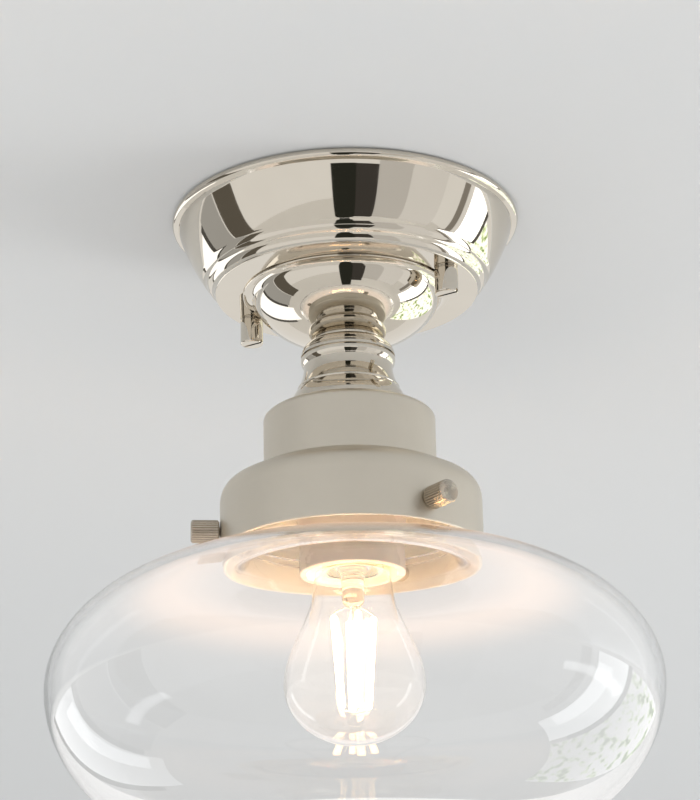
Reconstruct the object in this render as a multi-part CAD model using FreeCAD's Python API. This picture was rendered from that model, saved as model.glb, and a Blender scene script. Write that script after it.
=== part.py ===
import FreeCAD, Part
import math
import os

from FreeCAD import Vector

# Semi flush ceiling light: ceiling canopy, spun cup and baluster, glass holder, clear shade, one screw-in lamp.
# Millimetres. The origin is the ceiling plane at the middle of the canopy, +Z is up, X runs along the mounting strap.

FULL_TURN = 360.0
UP = Vector(0, 0, 1)
ORIGIN = Vector(0, 0, 0)

# Clearances used where pieces meet
SEAT_GAP = 0.05
THREAD_GAP = 0.05
HOLE_GAP = 0.4

# Ceiling canopy, spun sheet
CANOPY_WALL = 1.2
CANOPY_CONTACT_R = 75.6
CANOPY_BEAD_R = 76.8
CANOPY_BEAD_HEIGHT = 3.8
CANOPY_GROOVE_HEIGHT = 2.0
CANOPY_BAND_TOP_R = 73.6
CANOPY_BAND_MID_R = 69.2
CANOPY_BAND_FOOT_R = 63.5
CANOPY_BAND_HEIGHT = 21.7
CANOPY_FILLET_HEIGHT = 2.5
CANOPY_RING_R = 64.4
CANOPY_RING_HEIGHT = 2.1
CANOPY_COVE_R = 59.8
CANOPY_COVE_HEIGHT = 2.3
CANOPY_FACE_R = 57.2
CANOPY_LIP_HEIGHT = 0.5

BAND_TOP_Z = -CANOPY_BEAD_HEIGHT - CANOPY_GROOVE_HEIGHT
BAND_FOOT_Z = BAND_TOP_Z - CANOPY_BAND_HEIGHT
RING_TOP_Z = BAND_FOOT_Z - CANOPY_FILLET_HEIGHT
RING_FOOT_Z = RING_TOP_Z - CANOPY_RING_HEIGHT
LIP_Z = RING_FOOT_Z - CANOPY_COVE_HEIGHT
CANOPY_FACE_Z = LIP_Z - CANOPY_LIP_HEIGHT
CANOPY_INSIDE_Z = CANOPY_FACE_Z + CANOPY_WALL

# Mounting strap, joggled steel bar with slots for the ceiling box
STRAP_THICK = 2.0
STRAP_WIDTH = 19.0
STRAP_FLAT_HALF = 33.0
STRAP_BEND_RUN = 3.5
STRAP_DROP = 4.5
STRAP_HALF = 60.0
SLOT_SPACING = 50.8
SLOT_WIDTH = 4.8
SLOT_LENGTH = 12.0
STRAP_END_TOP_Z = -STRAP_DROP
STRAP_END_UNDER_Z = -STRAP_DROP - STRAP_THICK

# Canopy studs, their nuts and the cap nuts below the canopy
STUD_RADIUS_FROM_AXIS = 50.8
STUD_R = 1.95
STUD_HEAD_R = 4.0
STUD_HEAD_HEIGHT = 2.6
STUD_END_Z = -42.0
STUD_NUT_ACROSS = 7.0
STUD_NUT_HEIGHT = 3.2
CAP_WASHER_R = 4.9
CAP_WASHER_THICK = 0.4
CAP_WASHER_LIFT = 0.1
CAP_NUT_R = 5.1
CAP_NUT_LENGTH = 11.5
CAP_NUT_CHAMFER = 0.7
CAP_NUT_BORE_DEPTH = 8.0
CAP_NUT_SLOT_WIDTH = 1.2
CAP_NUT_SLOT_DEPTH = 1.5

# Earth point on the strap
EARTH_X = -41.5
EARTH_SHANK_R = 1.9
EARTH_SHANK_LENGTH = 6.0
EARTH_HEAD_R = 3.9
EARTH_HEAD_HEIGHT = 2.2
EARTH_TAG_R = 4.2
EARTH_TAG_THICK = 0.8
EARTH_TAG_NECK = 3.0
EARTH_BARREL_R = 1.7
EARTH_BARREL_LENGTH = 7.0
EARTH_BARREL_START = 5.5

# Terminal block under the strap
BLOCK_LENGTH = 28.0
BLOCK_WIDTH = 15.0
BLOCK_HEIGHT = 13.0
POLE_PITCH = 8.0
POLE_DROP = 7.0
INSERT_R = 2.3
INSERT_BORE_R = 1.3
INSERT_LENGTH = 13.0
TERMINAL_SCREW_R = 1.2
TERMINAL_SCREW_OFFSET = 4.0
TERMINAL_SLOT_WIDTH = 0.5
TERMINAL_SLOT_DEPTH = 0.8
BLOCK_SCREW_X = 4.0
BLOCK_SCREW_R = 1.3
BLOCK_SCREW_HEAD_R = 1.45
BLOCK_TOP_Z = -STRAP_THICK - SEAT_GAP
BLOCK_UNDER_Z = BLOCK_TOP_Z - BLOCK_HEIGHT
POLE_Z = BLOCK_TOP_Z - POLE_DROP

# Threaded tube that carries everything below the canopy
TUBE_R = 5.0
TUBE_BORE_R = 4.0
TUBE_TOP_Z = -24.5
TUBE_HOLE_R = TUBE_R + HOLE_GAP
TUBE_WASHER_R = 9.0
TUBE_WASHER_THICK = 1.2
TUBE_NUT_ACROSS = 14.0
TUBE_NUT_HEIGHT = 4.0

# Spun cup under the canopy
CUP_WALL = 1.0
CUP_FLANGE_R = 45.4
CUP_FLANGE_THICK = 0.8
CUP_R = 41.6
CUP_DEPTH = 25.4
CUP_RISE = 1.55
CUP_COVE_DROP = 3.4
CUP_SEAT_R = 15.5
CUP_TOP_Z = CANOPY_FACE_Z - SEAT_GAP
CUP_CENTRE_Z = CUP_TOP_Z + CUP_RISE
CUP_SEAT_Z = CUP_CENTRE_Z - CUP_DEPTH * math.sqrt(1 - (CUP_SEAT_R / CUP_R) ** 2)

# Turned baluster between the cup and the glass holder
STEM_GROOVE_R = 15.4
STEM_GROOVE_HEIGHT = 1.6
STEM_TAPER_TOP_R = 17.0
STEM_TAPER_MID_R = 18.7
STEM_TAPER_FOOT_R = 19.6
STEM_TAPER_HEIGHT = 6.0
STEM_QUIRK = 0.4
STEM_BEAD_R = 20.5
STEM_BEAD_HEIGHT = 3.9
STEM_WAIST_TOP_R = 19.2
STEM_WAIST_R = 18.9
STEM_WAIST_FOOT_R = 19.5
STEM_WAIST_HEIGHT = 7.6
STEM_RIDGE_R = 20.1
STEM_RIDGE_HEIGHT = 1.2
STEM_FLARE_TOP_R = 19.7
STEM_FLARE_MID_R = 21.6
STEM_FOOT_R = 26.2
STEM_FOOT_EDGE = 0.8
STEM_TOP_Z = CUP_SEAT_Z - SEAT_GAP
STEM_FOOT_Z = -90.35

# Glass holder, one spun piece with two drums
HOLDER_WALL = 1.3
HOLDER_TOP_FLAT_R = 26.2
HOLDER_UPPER_R = 37.2
HOLDER_UPPER_SHOULDER = 4.2
HOLDER_UPPER_HEIGHT = 27.9
HOLDER_STEP_R = 51.0
HOLDER_STEP_MID_R = 44.6
HOLDER_STEP_MID_DROP = 2.3
HOLDER_STEP_DROP = 6.0
HOLDER_LOWER_R = 56.1
HOLDER_CORNER_HEIGHT = 8.0
HOLDER_WALL_HEIGHT = 21.9
HOLDER_TOP_Z = STEM_FOOT_Z - SEAT_GAP
HOLDER_UPPER_SIDE_Z = HOLDER_TOP_Z - HOLDER_UPPER_SHOULDER
HOLDER_STEP_Z = HOLDER_TOP_Z - HOLDER_UPPER_HEIGHT
HOLDER_CORNER_Z = HOLDER_STEP_Z - HOLDER_STEP_DROP
HOLDER_SIDE_Z = HOLDER_CORNER_Z - HOLDER_CORNER_HEIGHT
HOLDER_RIM_Z = HOLDER_SIDE_Z - HOLDER_WALL_HEIGHT
HOLDER_WASHER_R = 9.0
HOLDER_WASHER_THICK = 1.0
HOLDER_NUT_ACROSS = 14.0
HOLDER_NUT_HEIGHT = 3.5

# Thumb screws, each with a turning tip, in bushes inside the holder wall
THUMB_AZIMUTHS = (-22.0, -142.0, 98.0)
THUMB_ABOVE_RIM = 9.4
THUMB_SHANK_R = 1.95
THUMB_HEAD_R = 4.9
THUMB_HEAD_LENGTH = 12.0
THUMB_HEAD_GAP = 0.4
THUMB_KNURLS = 36
THUMB_KNURL_DEPTH = 0.3
THUMB_CHAMFER = 0.7
TIP_R = 1.9
TIP_LENGTH = 2.0
TIP_TO_GLASS = 0.3
TIP_STEM_R = 0.8
TIP_STEM_LENGTH = 1.5
BUSH_R = 4.5
BUSH_LENGTH = 3.4
THUMB_Z = HOLDER_RIM_Z + THUMB_ABOVE_RIM
HOLDER_INNER_R = HOLDER_LOWER_R - HOLDER_WALL

# Clear glass shade
GLASS_WALL = 3.0
LIP_R = 50.0
LIP_HEIGHT = 4.0
NECK_R = 47.0
SHADE_R = 128.9
SHADE_CROWN_R = 50.0
SHADE_WIDEST_Z = -214.1
SHADE_UPPER_HEIGHT = 53.0
SHADE_LOWER_HEIGHT = 63.9
NECK_BEND_REACH = 10.0
NECK_BEND_DROP = 8.0
NECK_BEND_INNER_DROP = 10.0
NECK_BORE_STRAIGHT = 1.0
NECK_BEND_Z = -150.5
NECK_BEND_END_R = 66.0
LIP_UNDER_Z = THUMB_Z + TIP_R + 0.1
LIP_TOP_Z = LIP_UNDER_Z + LIP_HEIGHT

# Lampholder
CAP_BOSS_R = 8.0
CAP_BOSS_HEIGHT = 4.0
CAP_BELL_HEIGHT = 9.0
CAP_RIM_HEIGHT = 4.0
CAP_WALL = 1.4
SKIRT_R = 22.8
SKIRT_BORE_R = 19.6
SKIRT_LENGTH = 47.3
LEDGE_R = 16.5
LEDGE_DROP = 12.0
LEDGE_HEIGHT = 4.0
PORCELAIN_GAP = 0.2
WIRE_HOLE_R = 1.1
WIRE_HOLE_RING_R = 10.0
WIRE_HOLE_DEPTH = 6.5
HOLDER_SCREW_RING_R = 14.8
HOLDER_SCREW_R = 1.2
HOLDER_SCREW_HEAD_R = 2.3
HOLDER_SCREW_HEAD_HEIGHT = 1.4
SHELL_R = 14.1
SHELL_BORE_R = 13.5
SHELL_FLANGE_R = 15.9
SHELL_FLANGE_THICK = 0.8
SHELL_LENGTH = 24.0
TONGUE_WIDTH = 6.0
TONGUE_THICK = 0.5
TONGUE_RIVET_X = -5.0
TONGUE_RIVET_R = 1.3
TONGUE_RIVET_LENGTH = 4.0
HOLDER_NUT_UNDER_Z = HOLDER_TOP_Z - HOLDER_WALL - HOLDER_WASHER_THICK - HOLDER_NUT_HEIGHT - 2 * SEAT_GAP
LAMP_CAP_TOP_Z = HOLDER_NUT_UNDER_Z - SEAT_GAP
TUBE_END_Z = LAMP_CAP_TOP_Z - CAP_BOSS_HEIGHT
SKIRT_TOP_Z = LAMP_CAP_TOP_Z - CAP_BOSS_HEIGHT - CAP_BELL_HEIGHT - CAP_RIM_HEIGHT - SEAT_GAP
LEDGE_Z = SKIRT_TOP_Z - LEDGE_DROP
INSERT_UNDER_Z = LEDGE_Z + SEAT_GAP
INSERT_TOP_Z = SKIRT_TOP_Z - PORCELAIN_GAP
SHELL_TOP_Z = INSERT_UNDER_Z - SEAT_GAP

# Wires
WIRE_R = 0.9
WIRE_BEND_R = 3.0
WIRE_RING_R = 2.2
WIRE_OUT_Y = 17.0
WIRE_CROSS_Z = -20.0
WIRE_SPREAD_Z = -106.5

# Screw-in lamp
BULB_R = 30.0
BULB_CENTRE_Z = -205.2
BULB_FILLET_R = 18.0
BULB_TANGENT_R = 21.6
BULB_NECK_FOOT_R = 16.0
BULB_NECK_TOP_Z = -161.4
BULB_WALL = 0.8
BULB_SPIGOT_R = 11.6
BULB_SPIGOT_LENGTH = 5.0
BULB_CAP_R = 13.1
BULB_CAP_GROOVE_R = 12.4
BULB_CAP_BORE_R = 11.7
BULB_CAP_RIM_Z = -159.0
BULB_CAP_TOP_Z = -135.0
THREAD_PITCH = 3.629
THREAD_RINGS = 5
THREAD_START = 3.0
INSULATOR_HEIGHT = 2.8
INSULATOR_TOP_R = 5.5
BULB_CONTACT_R = 4.5
BULB_CONTACT_FLAT_R = 2.6
BULB_CONTACT_HEIGHT = 1.0
BULB_STEM_R = 5.2
BULB_STEM_WALL = 0.9
WIRE_TRIM_HEIGHT = 10.0
BULB_STEM_FLARE_R = 10.0
BULB_STEM_LENGTH = 22.0
FILAMENT_R = 0.9
FILAMENT_COUNT = 4
FILAMENT_TOP_R = 8.6
FILAMENT_TOP_Z = -181.0
FILAMENT_FOOT_R = 5.6
FILAMENT_FOOT_Z = -222.0
SUPPORT_R = 0.35


def point(r, z):
    return Vector(r, 0, z)


class Outline:
    """A half section in the XZ plane, drawn edge by edge and turned about Z."""

    def __init__(self, r, z):
        self.first = point(r, z)
        self.last = self.first
        self.edges = []

    def line(self, r, z):
        end = point(r, z)
        if end.distanceToPoint(self.last) > 1e-6:
            self.edges.append(Part.makeLine(self.last, end))
        self.last = end
        return self

    def arc(self, mid_r, mid_z, r, z):
        end = point(r, z)
        self.edges.append(Part.Arc(self.last, point(mid_r, mid_z), end).toShape())
        self.last = end
        return self

    def bend(self, r0, z0, r1, z1, r, z):
        """A cubic curve through two handles to the end point."""
        end = point(r, z)
        curve = Part.BezierCurve()
        curve.setPoles([self.last, point(r0, z0), point(r1, z1), end])
        self.edges.append(curve.toShape())
        self.last = end
        return self

    def ellipse(self, centre_r, centre_z, semi_r, semi_z, start, stop):
        """Part of an upright ellipse, from one angle to another in degrees."""
        begin, end = math.radians(start), math.radians(stop)
        first = point(centre_r + semi_r * math.cos(begin), centre_z + semi_z * math.sin(begin))
        side = point(centre_r + semi_r, centre_z)
        crown = point(centre_r, centre_z + semi_z)
        if semi_r >= semi_z:
            whole = Part.Ellipse(side, crown, point(centre_r, centre_z))
        else:
            whole = Part.Ellipse(crown, side, point(centre_r, centre_z))
            begin, end = math.pi / 2 - begin, math.pi / 2 - end
        curve = Part.ArcOfEllipse(whole, min(begin, end), max(begin, end))
        self.line(first.x, first.z)
        self.edges.append(curve.toShape())
        self.last = point(centre_r + semi_r * math.cos(math.radians(stop)),
                          centre_z + semi_z * math.sin(math.radians(stop)))
        return self

    def turned(self):
        self.line(self.first.x, self.first.z)
        return Part.Face(Part.Wire(self.edges)).revolve(ORIGIN, UP, FULL_TURN)


def rod(r, low, high, x=0.0, y=0.0):
    return Part.makeCylinder(r, high - low, Vector(x, y, low), UP)


def rod_along(r, start, end):
    return Part.makeCylinder(r, start.distanceToPoint(end), start, end - start)


def tube(r, bore, low, high, x=0.0, y=0.0):
    return rod(r, low, high, x, y).cut(rod(bore, low - 1, high + 1, x, y))


def box(x0, x1, y0, y1, z0, z1):
    return Part.makeBox(x1 - x0, y1 - y0, z1 - z0, Vector(x0, y0, z0))


def turned_by(shape, degrees):
    copy = shape.copy()
    copy.rotate(ORIGIN, UP, degrees)
    return copy


def hexagon(across, low, high, x=0.0, y=0.0):
    corner = across / math.sqrt(3)
    corners = [Vector(x + corner * math.cos(math.radians(60 * i)), y + corner * math.sin(math.radians(60 * i)), low)
               for i in range(7)]
    return Part.Face(Part.makePolygon(corners)).extrude(Vector(0, 0, high - low))


def filleted_path(places, bend):
    """A wire through the given places, with each corner rounded."""
    edges = []
    last = places[0]
    for before, corner, after in zip(places, places[1:], places[2:]):
        back = (before - corner).normalize()
        ahead = (after - corner).normalize()
        half = back.getAngle(ahead) / 2
        reach = bend / math.tan(half)
        start = corner + back * reach
        end = corner + ahead * reach
        middle = (back + ahead).normalize()
        centre = corner + middle * (bend / math.sin(half))
        edges.append(Part.makeLine(last, start))
        edges.append(Part.Arc(start, centre - middle * bend, end).toShape())
        last = end
    edges.append(Part.makeLine(last, places[-1]))
    return Part.Wire(edges)


def wire_along(places, bend):
    path = filleted_path(places, bend)
    circle = Part.Wire(Part.makeCircle(WIRE_R, places[0], places[1] - places[0]))
    return path.makePipeShell([circle], True, False)


def make_canopy():
    outline = Outline(CANOPY_CONTACT_R, 0)
    outline.arc(CANOPY_BEAD_R, -CANOPY_BEAD_HEIGHT / 2, CANOPY_CONTACT_R - 0.4, -CANOPY_BEAD_HEIGHT)
    outline.line(CANOPY_BAND_TOP_R + 0.4, -CANOPY_BEAD_HEIGHT - 0.5)
    outline.line(CANOPY_BAND_TOP_R, BAND_TOP_Z)
    middle_z = (BAND_TOP_Z + BAND_FOOT_Z) / 2
    outline.arc(CANOPY_BAND_MID_R, middle_z, CANOPY_BAND_FOOT_R, BAND_FOOT_Z)
    ring_top_r = CANOPY_RING_R - 0.4
    outline.arc(CANOPY_BAND_FOOT_R - 0.1, (BAND_FOOT_Z + RING_TOP_Z) / 2 - 0.1, ring_top_r, RING_TOP_Z)
    ring_foot_r = CANOPY_RING_R - 1.4
    outline.arc(CANOPY_RING_R, RING_TOP_Z - CANOPY_RING_HEIGHT / 2, ring_foot_r, RING_FOOT_Z)
    outline.arc(CANOPY_COVE_R, RING_FOOT_Z - 1.0, CANOPY_FACE_R + 0.7, LIP_Z)
    outline.arc(CANOPY_FACE_R + 0.6, LIP_Z - CANOPY_LIP_HEIGHT * 0.6, CANOPY_FACE_R, CANOPY_FACE_Z)
    outline.line(TUBE_HOLE_R, CANOPY_FACE_Z)
    outline.line(TUBE_HOLE_R, CANOPY_INSIDE_Z)
    outline.line(CANOPY_FACE_R - 0.4, CANOPY_INSIDE_Z)
    outline.line(ring_foot_r - CANOPY_WALL, RING_FOOT_Z + CANOPY_WALL)
    outline.line(CANOPY_BAND_FOOT_R - CANOPY_WALL, RING_TOP_Z)
    outline.line(CANOPY_BAND_FOOT_R - CANOPY_WALL, BAND_FOOT_Z + 0.5)
    outline.arc(CANOPY_BAND_MID_R - CANOPY_WALL, middle_z, CANOPY_BAND_TOP_R - CANOPY_WALL, BAND_TOP_Z)
    outline.line(CANOPY_CONTACT_R - 0.4 - CANOPY_WALL, -CANOPY_BEAD_HEIGHT + 0.6)
    bead_inside_r = CANOPY_BEAD_R - CANOPY_WALL
    outline.arc(bead_inside_r, -CANOPY_BEAD_HEIGHT / 2, CANOPY_CONTACT_R - CANOPY_WALL, 0)
    canopy = outline.turned()
    for side in (-1, 1):
        hole = rod(STUD_R + HOLE_GAP, CANOPY_FACE_Z - 1, CANOPY_INSIDE_Z + 1, side * STUD_RADIUS_FROM_AXIS)
        canopy = canopy.cut(hole)
    return canopy


def strap_slot(x):
    half_width = SLOT_WIDTH / 2
    half_run = (SLOT_LENGTH - SLOT_WIDTH) / 2
    low = -STRAP_THICK - 1
    high = 1
    slot = box(x - half_run, x + half_run, -half_width, half_width, low, high)
    for end in (x - half_run, x + half_run):
        slot = slot.fuse(rod(half_width, low, high, end))
    return slot


def make_mounting_strap():
    bend_end = STRAP_FLAT_HALF + STRAP_BEND_RUN
    top = [(-STRAP_HALF, STRAP_END_TOP_Z), (-bend_end, STRAP_END_TOP_Z), (-STRAP_FLAT_HALF, 0),
           (STRAP_FLAT_HALF, 0), (bend_end, STRAP_END_TOP_Z), (STRAP_HALF, STRAP_END_TOP_Z)]
    under = [(x, z - STRAP_THICK) for x, z in reversed(top)]
    corners = [Vector(x, -STRAP_WIDTH / 2, z) for x, z in top + under + top[:1]]
    strap = Part.Face(Part.makePolygon(corners)).extrude(Vector(0, STRAP_WIDTH, 0))
    for side in (-1, 1):
        strap = strap.cut(strap_slot(side * SLOT_SPACING / 2))
        stud_hole = rod(STUD_R + THREAD_GAP, STRAP_END_UNDER_Z - 1, STRAP_END_TOP_Z + 1, side * STUD_RADIUS_FROM_AXIS)
        strap = strap.cut(stud_hole)
    strap = strap.cut(rod(EARTH_SHANK_R + THREAD_GAP, STRAP_END_UNDER_Z - 1, STRAP_END_TOP_Z + 1, EARTH_X))
    return strap.cut(rod(BLOCK_SCREW_R + THREAD_GAP, -STRAP_THICK - 1, 1, BLOCK_SCREW_X))


def make_strap_studs():
    studs = []
    for side in (-1, 1):
        x = side * STUD_RADIUS_FROM_AXIS
        head_under = STRAP_END_TOP_Z + SEAT_GAP
        head = rod(STUD_HEAD_R, head_under, head_under + STUD_HEAD_HEIGHT, x)
        studs.append(head.fuse(rod(STUD_R, STUD_END_Z, head_under, x)))
    return Part.makeCompound(studs)


def make_strap_stud_nuts():
    nuts = []
    for side in (-1, 1):
        x = side * STUD_RADIUS_FROM_AXIS
        top = STRAP_END_UNDER_Z - SEAT_GAP
        nut = hexagon(STUD_NUT_ACROSS, top - STUD_NUT_HEIGHT, top, x)
        nuts.append(nut.cut(rod(STUD_R + THREAD_GAP, top - STUD_NUT_HEIGHT - 1, top + 1, x)))
    return Part.makeCompound(nuts)


CAP_WASHER_TOP_Z = CANOPY_FACE_Z - CAP_WASHER_LIFT
CAP_NUT_TOP_Z = CAP_WASHER_TOP_Z - CAP_WASHER_THICK - SEAT_GAP


def make_canopy_nut_washer(side):
    low = CAP_WASHER_TOP_Z - CAP_WASHER_THICK
    x = side * STUD_RADIUS_FROM_AXIS
    return tube(CAP_WASHER_R, STUD_R + 0.15, low, CAP_WASHER_TOP_Z, x)


def make_canopy_nut(side):
    end_z = CAP_NUT_TOP_Z - CAP_NUT_LENGTH
    outline = Outline(0, end_z)
    outline.line(CAP_NUT_R - CAP_NUT_CHAMFER, end_z)
    outline.line(CAP_NUT_R, end_z + CAP_NUT_CHAMFER)
    outline.line(CAP_NUT_R, CAP_NUT_TOP_Z - 0.2)
    outline.line(CAP_NUT_R - 0.2, CAP_NUT_TOP_Z)
    outline.line(STUD_R + THREAD_GAP, CAP_NUT_TOP_Z)
    outline.line(STUD_R + THREAD_GAP, CAP_NUT_TOP_Z - CAP_NUT_BORE_DEPTH)
    outline.line(0, CAP_NUT_TOP_Z - CAP_NUT_BORE_DEPTH - 0.8)
    nut = outline.turned()
    half = CAP_NUT_SLOT_WIDTH / 2
    reach = CAP_NUT_R + 1
    nut = nut.cut(box(-reach, reach, -half, half, end_z - 1, end_z + CAP_NUT_SLOT_DEPTH))
    nut.translate(Vector(side * STUD_RADIUS_FROM_AXIS, 0, 0))
    return nut


EARTH_TAG_TOP_Z = STRAP_END_UNDER_Z - SEAT_GAP
EARTH_TAG_UNDER_Z = EARTH_TAG_TOP_Z - EARTH_TAG_THICK
EARTH_WIRE_Z = EARTH_TAG_TOP_Z - EARTH_BARREL_R


def make_earth_screw():
    head_top = EARTH_TAG_UNDER_Z - SEAT_GAP
    head = rod(EARTH_HEAD_R, head_top - EARTH_HEAD_HEIGHT, head_top, EARTH_X)
    slot_low = head_top - EARTH_HEAD_HEIGHT - 1
    slot_high = head_top - EARTH_HEAD_HEIGHT + 1
    reach = EARTH_HEAD_R + 1
    head = head.cut(box(EARTH_X - reach, EARTH_X + reach, -0.5, 0.5, slot_low, slot_high))
    return head.fuse(rod(EARTH_SHANK_R, head_top, head_top + EARTH_SHANK_LENGTH, EARTH_X))


def make_earth_tag():
    ring = rod(EARTH_TAG_R, EARTH_TAG_UNDER_Z, EARTH_TAG_TOP_Z, EARTH_X)
    half = EARTH_TAG_NECK / 2
    neck = box(EARTH_X - half, EARTH_X + half, -EARTH_BARREL_START - 1, 0, EARTH_TAG_UNDER_Z, EARTH_TAG_TOP_Z)
    start = Vector(EARTH_X, -EARTH_BARREL_START, EARTH_WIRE_Z)
    end = Vector(EARTH_X, -EARTH_BARREL_START - EARTH_BARREL_LENGTH, EARTH_WIRE_Z)
    tag = ring.fuse(neck).fuse(rod_along(EARTH_BARREL_R, start, end))
    tag = tag.cut(rod_along(WIRE_R + THREAD_GAP, start + Vector(0, -1, 0), end + Vector(0, -1, 0)))
    return tag.cut(rod(EARTH_SHANK_R + THREAD_GAP, EARTH_TAG_UNDER_Z - 1, EARTH_TAG_TOP_Z + 1, EARTH_X))


def make_earth_link():
    pole_x = -POLE_PITCH
    out_y = -WIRE_OUT_Y - 1
    places = [Vector(EARTH_X, -EARTH_BARREL_START - 2, EARTH_WIRE_Z),
              Vector(EARTH_X, out_y, EARTH_WIRE_Z),
              Vector(pole_x, out_y, POLE_Z),
              Vector(pole_x, -INSERT_LENGTH / 2 + 4.0, POLE_Z)]
    return wire_along(places, WIRE_BEND_R)


def pole_places():
    return [-POLE_PITCH, 0.0, POLE_PITCH]


def terminal_screw_places():
    return [(x, side * TERMINAL_SCREW_OFFSET) for x in pole_places() for side in (-1, 1)]


def make_terminal_block():
    half_length = BLOCK_LENGTH / 2
    half_width = BLOCK_WIDTH / 2
    block = box(-half_length, half_length, -half_width, half_width, BLOCK_UNDER_Z, BLOCK_TOP_Z)
    for x in pole_places():
        start = Vector(x, -half_width - 1, POLE_Z)
        end = Vector(x, half_width + 1, POLE_Z)
        block = block.cut(rod_along(INSERT_R + THREAD_GAP, start, end))
    for x, y in terminal_screw_places():
        block = block.cut(rod(TERMINAL_SCREW_R + 0.15, BLOCK_UNDER_Z - 1, POLE_Z, x, y))
    block = block.cut(rod(BLOCK_SCREW_R + 0.1, BLOCK_UNDER_Z - 1, BLOCK_TOP_Z + 1, BLOCK_SCREW_X))
    return block.cut(rod(BLOCK_SCREW_HEAD_R + 0.1, BLOCK_UNDER_Z - 1, BLOCK_UNDER_Z + 1.5, BLOCK_SCREW_X))


def make_terminal_inserts():
    inserts = []
    for x in pole_places():
        start = Vector(x, -INSERT_LENGTH / 2, POLE_Z)
        end = Vector(x, INSERT_LENGTH / 2, POLE_Z)
        insert = rod_along(INSERT_R, start, end)
        insert = insert.cut(rod_along(INSERT_BORE_R, start - Vector(0, 1, 0), end + Vector(0, 1, 0)))
        for side in (-1, 1):
            y = side * TERMINAL_SCREW_OFFSET
            insert = insert.cut(rod(TERMINAL_SCREW_R + THREAD_GAP, POLE_Z - INSERT_R - 1, POLE_Z, x, y))
        inserts.append(insert)
    return Part.makeCompound(inserts)


def make_terminal_screws():
    screws = []
    top = POLE_Z - WIRE_R - 0.1
    low = BLOCK_UNDER_Z + 1.0
    for x, y in terminal_screw_places():
        screw = rod(TERMINAL_SCREW_R, low, top, x, y)
        half = TERMINAL_SLOT_WIDTH / 2
        screws.append(screw.cut(box(x - 3, x + 3, y - half, y + half, low - 1, low + TERMINAL_SLOT_DEPTH)))
    return Part.makeCompound(screws)


def make_block_screw():
    head_low = BLOCK_UNDER_Z + 0.2
    head = rod(BLOCK_SCREW_HEAD_R, head_low, head_low + 1.2, BLOCK_SCREW_X)
    return head.fuse(rod(BLOCK_SCREW_R, head_low + 1.2, -0.3, BLOCK_SCREW_X))


def make_cup():
    cove_z = CUP_TOP_Z - CUP_COVE_DROP
    cove_angle = math.degrees(math.asin((cove_z - CUP_CENTRE_Z) / CUP_DEPTH))
    cove_r = CUP_R * math.cos(math.radians(cove_angle))
    seat_angle = -math.degrees(math.acos(CUP_SEAT_R / CUP_R))
    outline = Outline(CUP_FLANGE_R, CUP_TOP_Z)
    flange_under = CUP_TOP_Z - CUP_FLANGE_THICK
    outline.arc(CUP_FLANGE_R + 0.3, CUP_TOP_Z - CUP_FLANGE_THICK / 2, CUP_FLANGE_R - 0.2, flange_under)
    outline.arc(cove_r + 1.2, (flange_under + cove_z) / 2 + 0.35, cove_r, cove_z)
    outline.ellipse(0, CUP_CENTRE_Z, CUP_R, CUP_DEPTH, cove_angle, seat_angle)
    outline.line(TUBE_HOLE_R, CUP_SEAT_Z)
    outline.line(TUBE_HOLE_R, CUP_SEAT_Z + CUP_WALL)
    inner_r = CUP_R - CUP_WALL
    inner_depth = CUP_DEPTH - CUP_WALL
    inner_seat = -math.degrees(math.asin((CUP_CENTRE_Z - CUP_SEAT_Z - CUP_WALL) / inner_depth))
    inner_rim = math.degrees(math.asin((CUP_TOP_Z - 1.5 - CUP_CENTRE_Z) / inner_depth))
    outline.ellipse(0, CUP_CENTRE_Z, inner_r, inner_depth, inner_seat, inner_rim)
    outline.line(inner_r + 0.6, CUP_TOP_Z)
    return outline.turned()


def make_stem():
    outline = Outline(TUBE_HOLE_R, STEM_TOP_Z)
    z = STEM_TOP_Z
    outline.line(STEM_GROOVE_R, z)
    z -= STEM_GROOVE_HEIGHT
    outline.line(STEM_GROOVE_R, z)
    outline.line(STEM_TAPER_TOP_R, z - 0.3)
    middle = z - STEM_TAPER_HEIGHT / 2
    z -= STEM_TAPER_HEIGHT
    outline.arc(STEM_TAPER_MID_R, middle, STEM_TAPER_FOOT_R, z)
    outline.line(STEM_TAPER_FOOT_R - STEM_QUIRK, z)
    z -= STEM_QUIRK
    outline.line(STEM_TAPER_FOOT_R - STEM_QUIRK, z)
    outline.line(STEM_TAPER_FOOT_R, z)
    middle = z - STEM_BEAD_HEIGHT / 2
    z -= STEM_BEAD_HEIGHT
    outline.arc(STEM_BEAD_R, middle, STEM_TAPER_FOOT_R, z)
    outline.line(STEM_WAIST_TOP_R, z - STEM_QUIRK)
    z -= STEM_QUIRK
    middle = z - STEM_WAIST_HEIGHT / 2
    z -= STEM_WAIST_HEIGHT
    outline.arc(STEM_WAIST_R, middle, STEM_WAIST_FOOT_R, z)
    middle = z - STEM_RIDGE_HEIGHT / 2
    z -= STEM_RIDGE_HEIGHT
    outline.arc(STEM_RIDGE_R, middle, STEM_FLARE_TOP_R, z)
    foot_top = STEM_FOOT_Z + STEM_FOOT_EDGE
    outline.arc(STEM_FLARE_MID_R, z + (foot_top - z) * 0.62, STEM_FOOT_R, foot_top)
    outline.line(STEM_FOOT_R, STEM_FOOT_Z)
    outline.line(TUBE_HOLE_R, STEM_FOOT_Z)
    return outline.turned()


def make_threaded_tube():
    return tube(TUBE_R, TUBE_BORE_R, TUBE_END_Z, TUBE_TOP_Z)


TUBE_WASHER_Z = CANOPY_INSIDE_Z + SEAT_GAP


def make_tube_washer():
    return tube(TUBE_WASHER_R, TUBE_R + 0.15, TUBE_WASHER_Z, TUBE_WASHER_Z + TUBE_WASHER_THICK)


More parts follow.
